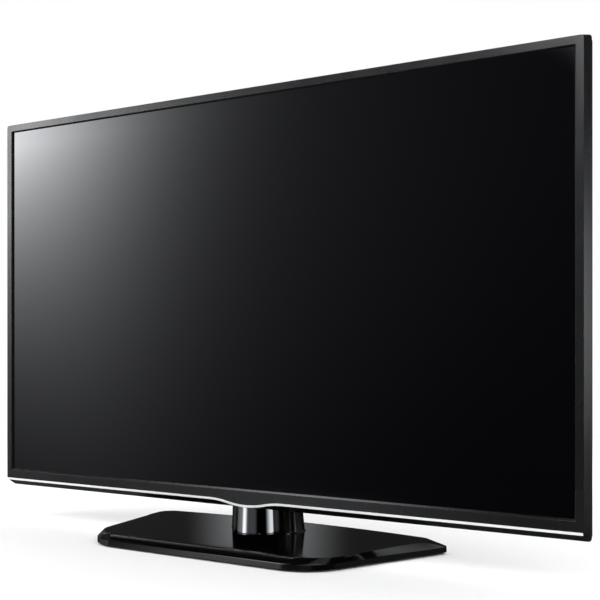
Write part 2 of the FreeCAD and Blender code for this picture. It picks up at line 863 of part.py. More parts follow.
def socket_shape(place, size, pocket, depth, tongue):
    # Upright socket: a closed shell with a pocket open to the back and, where it has one, a tongue.
    x, z = place
    width, height = size
    front = board_back
    rear = bay_floor + socket_proud
    body = block(around(x, width), (front, rear), around(z, height))
    wide, high = pocket
    body = body.cut(block(around(x, wide), (rear - depth, rear), around(z, high)))
    if tongue:
        tongue_width = wide - 2 * socket_shell
        tongue_range = (rear - depth, rear - tongue_recess)
        body = body.fuse(block(around(x, tongue_width), tongue_range, around(z, tongue_thickness)))
    return body


def inner_size(size):
    return size[0] - 2 * socket_shell, size[1] - 2 * socket_shell


def make_sockets():
    rear = bay_floor + socket_proud
    inner = inner_size(hdmi_size)
    hdmi = [socket_shape(place, hdmi_size, inner, socket_pocket, True) for place in hdmi_places]
    keep("hdmi_sockets", hdmi)
    keep("usb_socket", socket_shape(usb_place, usb_size, inner_size(usb_size), socket_pocket, True))
    keep("lan_socket", socket_shape(lan_place, lan_size, lan_opening, lan_pocket_depth, False))
    optical = socket_shape(optical_place, optical_size, inner_size(optical_size), optical_recess, False)
    keep("optical_socket", optical)
    phonos = []
    for x, z in phono_places():
        flange = rod(phono_flange, *along_y(x, z, board_back, jack_panel_y))
        barrel = rod(phono_radius, *along_y(x, z, board_back, rear + phono_proud))
        bore = rod(phono_bore, *along_y(x, z, rear - socket_pocket, rear + phono_proud))
        phonos.append(flange.fuse(barrel).cut(bore).removeSplitter())
    keep("phono_sockets", phonos)
    x, z = antenna_place
    barrel = rod(antenna_radius, *along_y(x, z, board_back, rear + antenna_proud))
    bore = rod(antenna_bore, *along_y(x, z, rear - socket_pocket, rear + antenna_proud))
    keep("antenna_socket", barrel.cut(bore))

    # Pressed metal panel under the bay's ledge, with a hole for each socket.
    through = (jack_panel_y - jack_panel_thickness, jack_panel_y)
    panel = block((bay_left, bay_right), through, (bay_bottom, bay_top))
    sized = [(place, hdmi_size) for place in hdmi_places]
    sized += [(usb_place, usb_size), (lan_place, lan_size), (optical_place, optical_size)]
    cuts = []
    for (x, z), (width, height) in sized:
        gap = 2 * socket_clearance
        cuts.append(block(around(x, width + gap), through, around(z, height + gap)))
    for x, z in phono_places():
        cuts.append(rod(phono_flange + socket_clearance, *along_y(x, z, *through)))
    x, z = antenna_place
    cuts.append(rod(antenna_radius + socket_clearance, *along_y(x, z, *through)))
    keep("jack_panel", panel.cut(Part.makeCompound(cuts)))


def make_mains_inlet():
    # Three-pin appliance inlet, its flange on the back cover.
    front = set_depth - inlet_depth
    rear = set_depth + inlet_flange_thickness
    floor = front + inlet_floor
    wide = around(inlet_x, inlet_width)
    high = around(inlet_z, inlet_height)
    body = block(wide, (front, set_depth), high)
    brim_wide = around(inlet_x, inlet_width + 2 * inlet_flange)
    brim_high = around(inlet_z, inlet_height + 2 * inlet_flange)
    brim = block(brim_wide, (set_depth, rear), brim_high)
    open_wide = around(inlet_x, inlet_width - 2 * inlet_wall)
    open_high = around(inlet_z, inlet_height - 2 * inlet_wall)
    hollow = block(open_wide, (floor, rear), open_high)
    keep("mains_inlet", body.fuse(brim).cut(hollow).removeSplitter())
    pins = []
    for step in (-1, 0, 1):
        x = inlet_x + step * inlet_pin_across
        z = inlet_z + (inlet_pin_offset if step == 0 else -inlet_pin_offset)
        depth = (floor, floor + inlet_pin_length)
        pins.append(block(around(x, inlet_pin_width), depth, around(z, inlet_pin_height)))
    keep("mains_inlet_pins", pins)

    # Filter coil block of the mains input, between the inlet and the chassis plate.
    keep("mains_filter", block(wide, (chassis_back, front), high))


def make_stick():
    # Four-way control stick with a push, on the back at the viewer's right.
    pivot_y = set_depth - stick_pivot_depth
    pivot = Vector(stick_x, pivot_y, stick_z)
    gimbal_inner = stick_lever_radius + stick_gap
    gimbal_outer = gimbal_inner + gimbal_wall
    half = gimbal_height / 2
    pin = stick_pin_radius
    cup_inner = gimbal_outer + stick_gap
    cup_outer = cup_inner + stick_housing_wall
    cup_end = cover_inside

    cup = rod(cup_outer, *along_y(stick_x, stick_z, chassis_back, cup_end))
    floor = pivot_y - half - stick_cup_depth
    flare = rod(stick_opening_radius, *along_y(stick_x, stick_z, pivot_y + half + stick_gap, cup_end))
    brim_start = pivot_y + half - stick_gap
    brim = rod(stick_opening_radius + boss_wall, *along_y(stick_x, stick_z, brim_start, cup_end))
    cup = cup.fuse(brim).cut(flare)
    cup = cup.cut(rod(cup_inner, *along_y(stick_x, stick_z, floor, cup_end)))
    side = Vector(cup_outer, 0, 0)
    cup = cup.cut(rod(pin + stick_fit, pivot - side, pivot + side))
    keep("stick_housing", cup.removeSplitter())

    ring = tube(gimbal_outer, gimbal_inner, *along_y(stick_x, stick_z, pivot_y - half, pivot_y + half))
    for sign in (-1, 1):
        start = pivot + Vector(sign * (gimbal_inner + gimbal_wall / 2), 0, 0)
        end = pivot + Vector(sign * (cup_outer - stick_gap), 0, 0)
        ring = ring.fuse(rod(pin, start, end))
    up = Vector(0, 0, gimbal_outer)
    ring = ring.cut(rod(pin + stick_fit, pivot - up, pivot + up))
    keep("stick_gimbal", ring.removeSplitter())

    lever_top = pivot_y + half
    lever = rod(stick_lever_radius, *along_y(stick_x, stick_z, pivot_y - half, lever_top))
    reach = Vector(0, 0, gimbal_outer - stick_gap)
    lever = lever.fuse(rod(pin, pivot - reach, pivot + reach))
    stem_bore = stick_stem_radius + stick_fit
    lever = lever.cut(rod(stem_bore, *along_y(stick_x, stick_z, pivot_y - half, lever_top)))
    keep("stick_lever", lever.removeSplitter())

    cap_end = set_depth + stick_cap_proud
    cap_start = cap_end - stick_cap_height
    cap = rod(stick_cap_radius, *along_y(stick_x, stick_z, cap_start, cap_end))
    dish_centre = Vector(stick_x, cap_end + stick_dish_radius - stick_dish_depth, stick_z)
    cap = cap.cut(Part.makeSphere(stick_dish_radius, dish_centre))
    stem = rod(stick_stem_radius, *along_y(stick_x, stick_z, pivot_y - half, cap_start))
    keep("stick_cap", cap.fuse(stem).removeSplitter())


def oval(half_x, half_z, centre, y):
    curve = Part.Ellipse(Vector(0, 0, 0), half_x, half_z)
    wire = Part.Wire(curve.toShape())
    wire.rotate(Vector(0, 0, 0), Vector(1, 0, 0), 90)
    wire.translate(Vector(centre, y, speaker_z))
    return wire


def oval_slab(half_x, half_z, centre, y_range):
    slab = Part.Face(oval(half_x, half_z, centre, y_range[0]))
    return slab.extrude(Vector(0, y_range[1] - y_range[0], 0))


def make_speakers():
    boxes = []
    drivers = []
    rear = chassis_back + speaker_depth
    for side, name in ((-1, "speaker_cone_left"), (1, "speaker_cone_right")):
        x = side * speaker_x
        across = (x - speaker_half_width, x + speaker_half_width)
        upright = (speaker_z - speaker_half_height, speaker_z + speaker_half_height)
        case = block(across, (chassis_back, rear), upright)
        wall = speaker_wall
        case = case.cut(block((across[0] + wall, across[1] - wall), (chassis_back + wall, rear - wall),
                              (upright[0] + wall, upright[1] - wall)))
        opening = (cone_half_width + cone_gap, cone_half_height + cone_gap)
        case = case.cut(oval_slab(*opening, x, (rear - wall, rear)))
        boxes.append(case)

        # Driver: flange on the box's face and magnet on its floor.
        rim = (opening[0] + driver_flange, opening[1] + driver_flange)
        plate_range = (rear, rear + driver_plate)
        flange = oval_slab(*rim, x, plate_range).cut(oval_slab(*opening, x, plate_range))
        magnet_start = chassis_back + wall
        magnet_end = magnet_start + magnet_length
        magnet = rod(magnet_radius, *along_y(x, speaker_z, magnet_start, magnet_end))
        drivers += [flange, magnet]

        tip = rear - cone_depth
        small = cone_neck / 2
        outer = Part.makeLoft([oval(cone_half_width, cone_half_height, x, rear),
                               oval(cone_neck, small, x, tip)], True)
        skin = cone_skin
        hollow = Part.makeLoft([oval(cone_half_width - skin, cone_half_height - skin, x, rear + skin),
                                oval(cone_neck - skin, small - skin, x, tip + skin)], True)
        coil_end = magnet_end + cone_travel + cone_gap
        coil = rod(small, *along_y(x, speaker_z, coil_end, tip + skin))
        keep(name, outer.cut(hollow).fuse(coil).removeSplitter())
    keep("speaker_boxes", boxes)
    keep("speaker_drivers", drivers)


def base_outline(front, back, half_width, flare, front_radius, back_corner, inset, z):
    # Plan of the base: a straight front, sides that open out backwards and a bowed back.
    front += inset
    lean = math.hypot(1, flare)
    normal = Vector(1 / lean, -flare / lean, 0)
    along = Vector(flare / lean, 1 / lean, 0)
    reach = normal.dot(Vector(half_width, base_width_y, 0)) - inset
    front_radius -= inset
    back_corner -= inset
    bow_radius = base_back_radius - inset
    bow_centre = Vector(0, back - base_back_radius, 0)

    # Centre of the front corner, front_radius from both the front and the side.
    near_x = (reach - front_radius + flare / lean * (front + front_radius)) * lean
    near = Vector(near_x, front + front_radius, 0)
    # Centre of the back corner, back_corner inside both the side and the bowed back.
    on_side = normal * (reach - back_corner) - bow_centre
    offset = on_side.dot(along)
    rest = on_side.dot(on_side) - (bow_radius - back_corner) ** 2
    far = normal * (reach - back_corner) + along * (-offset + math.sqrt(offset ** 2 - rest))

    outward = (far - bow_centre).normalize()
    marks = [Vector(near.x, front, 0)]
    marks.append(near + (normal - Vector(0, 1, 0)).normalize() * front_radius)
    marks.append(near + normal * front_radius)
    marks.append(far + normal * back_corner)
    marks.append(far + (normal + outward).normalize() * back_corner)
    marks.append(far + outward * back_corner)
    right = [Vector(point.x, point.y, z) for point in marks]
    left = [Vector(-point.x, point.y, z) for point in marks]
    edges = [Part.makeLine(left[0], right[0]), Part.Arc(*right[0:3]).toShape()]
    edges += [Part.makeLine(right[2], right[3]), Part.Arc(*right[3:6]).toShape()]
    edges.append(Part.Arc(right[5], Vector(0, back - inset, z), left[5]).toShape())
    edges += [Part.Arc(left[5], left[4], left[3]).toShape(), Part.makeLine(left[3], left[2])]
    edges.append(Part.Arc(left[2], left[1], left[0]).toShape())
    return Part.Wire(edges)


def rim_outline(inset, z):
    return base_outline(base_front, base_back, base_half_width, base_side_flare,
                        base_front_radius, base_back_corner, inset, z)


def plateau_outline(inset, z):
    return base_outline(plateau_front, plateau_back, plateau_half_width, plateau_side_flare,
                        plateau_front_radius, plateau_back_corner, inset, z)


def base_screw_places():
    # A row of bosses along the front and one along the back, well inside the rim.
    rows = ((base_front_boss_half, plateau_front + base_front_boss_inset),
            (base_back_boss_half, plateau_back - base_back_boss_inset))
    return [(x, y) for half, y in rows for x in spread(-half, half, base_boss_count)]


def foot_places():
    # One foot at each corner, one in the middle of the front and one in the middle of the back.
    front_y = base_front + foot_front_inset
    back_y = base_back - foot_back_inset
    corners = [(foot_front_half, front_y), (foot_back_half, back_y)]
    middles = [(0, base_front + foot_inset), (0, base_back - foot_inset)]
    return [(side * x, y) for side in (-1, 1) for x, y in corners] + middles


plate_bottom = base_foot_gap + foot_recess
plate_top = plate_bottom + plate_thickness
foot_top = plate_bottom + foot_recess
dish_bottom = plate_bottom + dish_rise
dish_top = plate_top + dish_rise
core_foot_bottom = base_top + turning_gap
cover_hole_radius = stop_pin_circle + stop_pin_radius + stop_gap
swivel_axis = Vector(0, swivel_y, 0)


def on_swivel(radius, low, high):
    return rod(radius, swivel_axis + Vector(0, 0, low), swivel_axis + Vector(0, 0, high))


def make_base():
    bevel = base_rim_bevel
    outer = Part.makeLoft([rim_outline(0, base_foot_gap), rim_outline(0, base_rim_top - bevel),
                           rim_outline(bevel, base_rim_top), plateau_outline(0, base_top)], True, True)
    wall = base_wall
    inner = Part.makeLoft([rim_outline(wall, base_foot_gap), rim_outline(wall, base_rim_top - wall),
                           plateau_outline(wall, base_top - wall)], True, True)
    shell = outer.cut(inner)
    # The bosses end inside the top wall.
    bosses = [upright_rod(base_boss_radius, x, y, plate_top, base_top - wall / 2)
              for x, y in base_screw_places()]
    shell = shell.fuse(bosses)
    bores = [upright_rod(base_screw_radius, x, y, plate_top, base_top - wall)
             for x, y in base_screw_places()]
    bores.append(on_swivel(cover_hole_radius, 0, base_top))
    keep("base_cover", shell.cut(bores).removeSplitter())

    # Steel plate with a raised dish that leaves room for the nut below.
    gap = wall + plate_edge_gap
    plate = Part.Face(rim_outline(gap, plate_bottom)).extrude(Vector(0, 0, plate_thickness))
    rim = dish_radius + plate_thickness
    plate = plate.fuse(on_swivel(rim, plate_bottom, dish_top)).cut(on_swivel(dish_radius, 0, dish_bottom))
    sleeve_outer = spindle_radius + spindle_fit + sleeve_wall
    holes = [on_swivel(sleeve_outer, 0, dish_top)]
    for x, y in base_screw_places():
        holes.append(upright_rod(base_screw_radius + screw_clearance, x, y, 0, plate_top))
    for x, y in foot_places():
        holes.append(upright_rod(foot_radius, x, y, 0, foot_top))

    # Curved slot that the neck's stop pin runs in.
    reach = math.radians(swivel_angle)
    slot_inner = stop_pin_circle - stop_pin_radius - stop_gap
    slot_outer = stop_pin_circle + stop_pin_radius + stop_gap
    band = on_swivel(slot_outer, dish_bottom, dish_top).cut(on_swivel(slot_inner, dish_bottom, dish_top))
    spread_out = 2 * slot_outer
    side = Vector(spread_out * math.sin(reach), swivel_y + spread_out * math.cos(reach), dish_bottom)
    corner = Vector(-side.x, side.y, dish_bottom)
    apex = swivel_axis + Vector(0, 0, dish_bottom)
    wedge = Part.Face(Part.makePolygon([apex, side, corner, apex])).extrude(Vector(0, 0, plate_thickness))
    holes.append(band.common(wedge))
    for sign in (-1, 1):
        x = sign * stop_pin_circle * math.sin(reach)
        y = swivel_y + stop_pin_circle * math.cos(reach)
        holes.append(upright_rod(stop_pin_radius + stop_gap, x, y, dish_bottom, dish_top))
    keep("base_plate", plate.cut(holes).removeSplitter())

    keep("rubber_feet", [upright_rod(foot_radius, x, y, 0, foot_top) for x, y in foot_places()])
    screws = []
    screw_end = base_top - wall - base_screw_end_gap
    for x, y in base_screw_places():
        shank = upright_rod(base_screw_radius, x, y, plate_bottom, screw_end)
        head = upright_rod(base_screw_head, x, y, plate_bottom - base_screw_head_height, plate_bottom)
        screws.append(shank.fuse(head))
    keep("base_screws", screws)


def make_swivel():
    bore = spindle_radius + spindle_fit
    sleeve_outer = bore + sleeve_wall
    sleeve_top = base_top - washer_gap
    sleeve = on_swivel(sleeve_outer, dish_bottom, sleeve_top)
    sleeve = sleeve.fuse(on_swivel(sleeve_outer + sleeve_flange, dish_top,
                                   dish_top + sleeve_flange_thickness))
    keep("pivot_sleeve", sleeve.cut(on_swivel(bore, 0, base_top)).removeSplitter())

    hole = spindle_radius + washer_gap
    washer = on_swivel(hole + washer_wall, sleeve_top, core_foot_bottom)
    keep("upper_washer", washer.cut(on_swivel(hole, sleeve_top, core_foot_bottom)))
    low = dish_bottom - lower_washer_thickness
    washer = on_swivel(hole + washer_wall, low, dish_bottom)
    keep("lower_washer", washer.cut(on_swivel(hole, low, dish_bottom)))

    reach = nut_across_corners / 2
    under = swivel_axis + Vector(0, 0, low - nut_height)
    angles = [math.radians(60 * corner) for corner in range(7)]
    corners = [under + Vector(reach * math.cos(a), reach * math.sin(a), 0) for a in angles]
    nut = Part.Face(Part.makePolygon(corners)).extrude(Vector(0, 0, nut_height))
    keep("spindle_nut", nut.cut(on_swivel(nut_thread_radius + nut_thread_gap, 0, low)))


def neck_outline(inset, taper, z):
    # Plan of the neck cover: flat front, sides opening backwards and round back corners.
    wide = cheek_half_back - inset - taper * cheek_taper_side
    narrow = cheek_half_front - inset - taper * cheek_taper_side
    front = cheek_front + inset
    back = cheek_back - inset - taper * cheek_taper_back
    near = cheek_front_radius - inset
    far = cheek_back_radius - inset
    near_centre = Vector(narrow - near, front + near, 0)
    far_centre = Vector(wide - far, back - far, 0)
    # The side is the common tangent of the two corner rounds.
    step = far_centre - near_centre
    heading = math.atan2(step.y, step.x) - math.acos((near - far) / step.Length)
    out = Vector(math.cos(heading), math.sin(heading), 0)
    marks = [Vector(near_centre.x, front, 0)]
    marks.append(near_centre + (out - Vector(0, 1, 0)).normalize() * near)
    marks.append(near_centre + out * near)
    marks.append(far_centre + out * far)
    marks.append(far_centre + (out + Vector(0, 1, 0)).normalize() * far)
    marks.append(Vector(far_centre.x, far_centre.y + far, 0))
    right = [Vector(point.x, point.y, z) for point in marks]
    left = [Vector(-point.x, point.y, z) for point in marks]
    edges = [Part.makeLine(left[0], right[0]), Part.Arc(*right[0:3]).toShape()]
    edges += [Part.makeLine(right[2], right[3]), Part.Arc(*right[3:6]).toShape()]
    edges.append(Part.makeLine(right[5], left[5]))
    edges += [Part.Arc(left[5], left[4], left[3]).toShape(), Part.makeLine(left[3], left[2])]
    edges.append(Part.Arc(left[2], left[1], left[0]).toShape())
    return Part.Wire(edges)


def make_neck():
    top = lip_height + cover_inset - tube_gap
    low = core_foot_bottom
    wall = cheek_wall
    # A low flared foot, then sides that taper a little to the top.
    knee = cheek_skirt_height / (top - low)
    body = Part.makeLoft([neck_outline(-cheek_skirt, 0, low),
                          neck_outline(0, knee, low + cheek_skirt_height),
                          neck_outline(0, 1, top)], True, True)
    inside = Part.makeLoft([neck_outline(wall, 0, low), neck_outline(wall, 1, top - wall)], True, True)
    # The flare stops beside the chrome tube, which stands against the flat front.
    tube_half = tube_radius + tube_gap
    cover = body.cut(block((-tube_half, tube_half), (cheek_front - 2 * cheek_skirt, cheek_front),
                           (low, low + cheek_skirt_height)))
    cover = cover.cut(inside)
    # The front is open behind the chrome tube, and the top where the post goes up.
    open_half = math.sqrt((tube_radius - tube_wall) ** 2 - (cheek_front - tube_centre_y) ** 2)
    front_range = (cheek_front - cheek_skirt, cheek_front + wall)
    cover = cover.cut(block((-open_half, open_half), front_range, (low, top)))
    gap = turning_gap
    cover = cover.cut(block((-post_half_width - gap, post_half_width + gap),
                            (cheek_front, post_front + post_depth + gap), (top - wall, top)))
    keep("neck_cover", cover.removeSplitter())

    ends = (Vector(0, tube_centre_y, low), Vector(0, tube_centre_y, tube_top))
    ring = tube(tube_radius, tube_radius - tube_wall, *ends)
    front_room = block((-tube_radius, tube_radius), (0, cheek_front), (0, 2 * tube_top))
    keep("chrome_tube", ring.common(front_room))

    # Cast core: foot and spindle below, post through the set's underside, plate inside the set.
    foot = on_swivel(core_foot_radius, low, low + core_foot_thickness)
    spindle = on_swivel(spindle_radius, dish_bottom, low)
    stub = on_swivel(nut_thread_radius, dish_bottom - lower_washer_thickness - nut_height, dish_bottom)
    pin_place = Vector(0, swivel_y + stop_pin_circle, 0)
    pin = rod(stop_pin_radius, pin_place + Vector(0, 0, dish_bottom), pin_place + Vector(0, 0, low))
    depth_range = (post_front, post_front + post_depth)
    post = block((-post_half_width, post_half_width), depth_range, (low, core_plate_bottom))
    plate = block((-core_half_width, core_half_width), depth_range,
                  (core_plate_bottom, lip_height + core_rise))
    core = foot.fuse([spindle, stub, pin, post, plate])
    pads = []
    bores = []
    for x, z in neck_screw_places():
        pads.append(rod(neck_screw_head + boss_wall, *along_y(x, z, depth_range[1], cover_inside)))
        bores.append(rod(neck_screw_radius + screw_clearance, *along_y(x, z, post_front, cover_inside)))
    core = core.fuse(pads).cut(Part.makeCompound(bores))
    keep("neck_core", core.removeSplitter())
    screws = []
    for x, z in neck_screw_places():
        shank = rod(neck_screw_radius, *along_y(x, z, chassis_back + bracket_wall, set_depth))
        head = rod(neck_screw_head, *along_y(x, z, set_depth, set_depth + neck_screw_head_height))
        screws.append(shank.fuse(head))
    keep("neck_screws", screws)


make_frame()
make_display()
make_chassis()
make_back_cover()
make_rails()
make_neck_bracket()
make_boards()
make_board_parts()
make_sockets()
make_mains_inlet()
make_stick()
make_speakers()
make_base()
make_swivel()
make_neck()

os.makedirs("parts", exist_ok=True)
base_middle = Vector(0, (base_front + base_back) / 2, 0)
for name, shape in nodes.items():
    if not shape.isValid():
        raise ValueError(name + " is not a valid solid")
    shape.translate(-base_middle)
    shape.exportStep("parts/" + name + ".step")
    print(name, len(shape.Solids), round(shape.Volume))
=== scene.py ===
import math
import bpy
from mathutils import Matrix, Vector


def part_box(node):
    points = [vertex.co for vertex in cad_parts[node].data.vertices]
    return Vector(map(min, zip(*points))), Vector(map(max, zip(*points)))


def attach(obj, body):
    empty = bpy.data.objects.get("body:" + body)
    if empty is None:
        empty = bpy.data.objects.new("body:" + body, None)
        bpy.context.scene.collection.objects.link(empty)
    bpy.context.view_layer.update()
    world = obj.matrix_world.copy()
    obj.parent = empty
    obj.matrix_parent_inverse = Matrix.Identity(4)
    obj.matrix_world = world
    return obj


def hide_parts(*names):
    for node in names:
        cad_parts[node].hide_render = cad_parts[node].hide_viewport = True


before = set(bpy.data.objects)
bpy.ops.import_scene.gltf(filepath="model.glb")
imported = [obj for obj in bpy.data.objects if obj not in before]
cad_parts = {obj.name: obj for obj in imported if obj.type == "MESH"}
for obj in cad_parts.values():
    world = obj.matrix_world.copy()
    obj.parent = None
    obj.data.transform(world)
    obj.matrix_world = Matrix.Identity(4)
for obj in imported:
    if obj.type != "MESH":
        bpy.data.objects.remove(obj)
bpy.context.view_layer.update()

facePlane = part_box("front_frame")[0].y  # the set is modelled from y = 0 and moved to here
tiny = 1e-5  # places nearer than this are the same, in metres
print("frame loaded with", len(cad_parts), "nodes")


def linearColour(hexCode):
    # sRGB hex to the linear values that shaders take
    channels = [int(hexCode[at:at + 2], 16) / 255 for at in (1, 3, 5)]
    return [c / 12.92 if c <= 0.04045 else ((c + 0.055) / 1.055) ** 2.4 for c in channels] + [1.0]


def addNode(tree, kind, settings=None, links=None):
    # a shader node with its settings, by socket or by attribute, and its incoming links
    node = tree.nodes.new(kind)
    for key, value in (settings or {}).items():
        if isinstance(key, int) or key in node.inputs:
            node.inputs[key].default_value = value
        else:
            setattr(node, key, value)
    for key, source in (links or {}).items():
        tree.links.new(source, node.inputs[key])
    return node


# Materials

def startMaterial(name, **settings):
    # an empty material with a principled shader, and the object coordinates that patterns read
    material = bpy.data.materials.new(name)
    material.use_nodes = True
    tree = material.node_tree
    tree.nodes.clear()
    shader = addNode(tree, "ShaderNodeBsdfPrincipled", settings)
    addNode(tree, "ShaderNodeOutputMaterial", None, {"Surface": shader.outputs[0]})
    place = addNode(tree, "ShaderNodeTexCoord").outputs["Object"]
    return material, tree, shader, place


def makeFinish(name, colours, patch, roughness, grain, stretch=(1, 1, 1), **settings):
    # colours and roughness wander between two values over patches of a size in mm,
    # grain is the bump's size and depth in mm, stretch makes both run along an axis
    material, tree, shader, place = startMaterial(name, **settings)
    along = addNode(tree, "ShaderNodeMapping", {"Scale": stretch}, {"Vector": place}).outputs[0]
    patches = addNode(tree, "ShaderNodeTexNoise", {"Scale": 1000 / patch, "Detail": 4.0, "Roughness": 0.6},
                      {"Vector": along}).outputs["Fac"]
    tint = addNode(tree, "ShaderNodeMix", {"data_type": "RGBA", 6: linearColour(colours[0]),
                                           7: linearColour(colours[1])}, {0: patches}).outputs[2]
    gloss = addNode(tree, "ShaderNodeMapRange", {"From Min": 0.3, "From Max": 0.7, "To Min": roughness[0],
                                                 "To Max": roughness[1]}, {"Value": patches}).outputs[0]
    bumps = addNode(tree, "ShaderNodeTexNoise", {"Scale": 1000 / grain[0], "Detail": 2.0},
                    {"Vector": along}).outputs["Fac"]
    relief = addNode(tree, "ShaderNodeBump", {"Distance": grain[1] / 1000, "Strength": 0.6},
                     {"Height": bumps}).outputs[0]
    for socket, source in (("Base Color", tint), ("Roughness", gloss), ("Normal", relief)):
        tree.links.new(source, shader.inputs[socket])
    return material


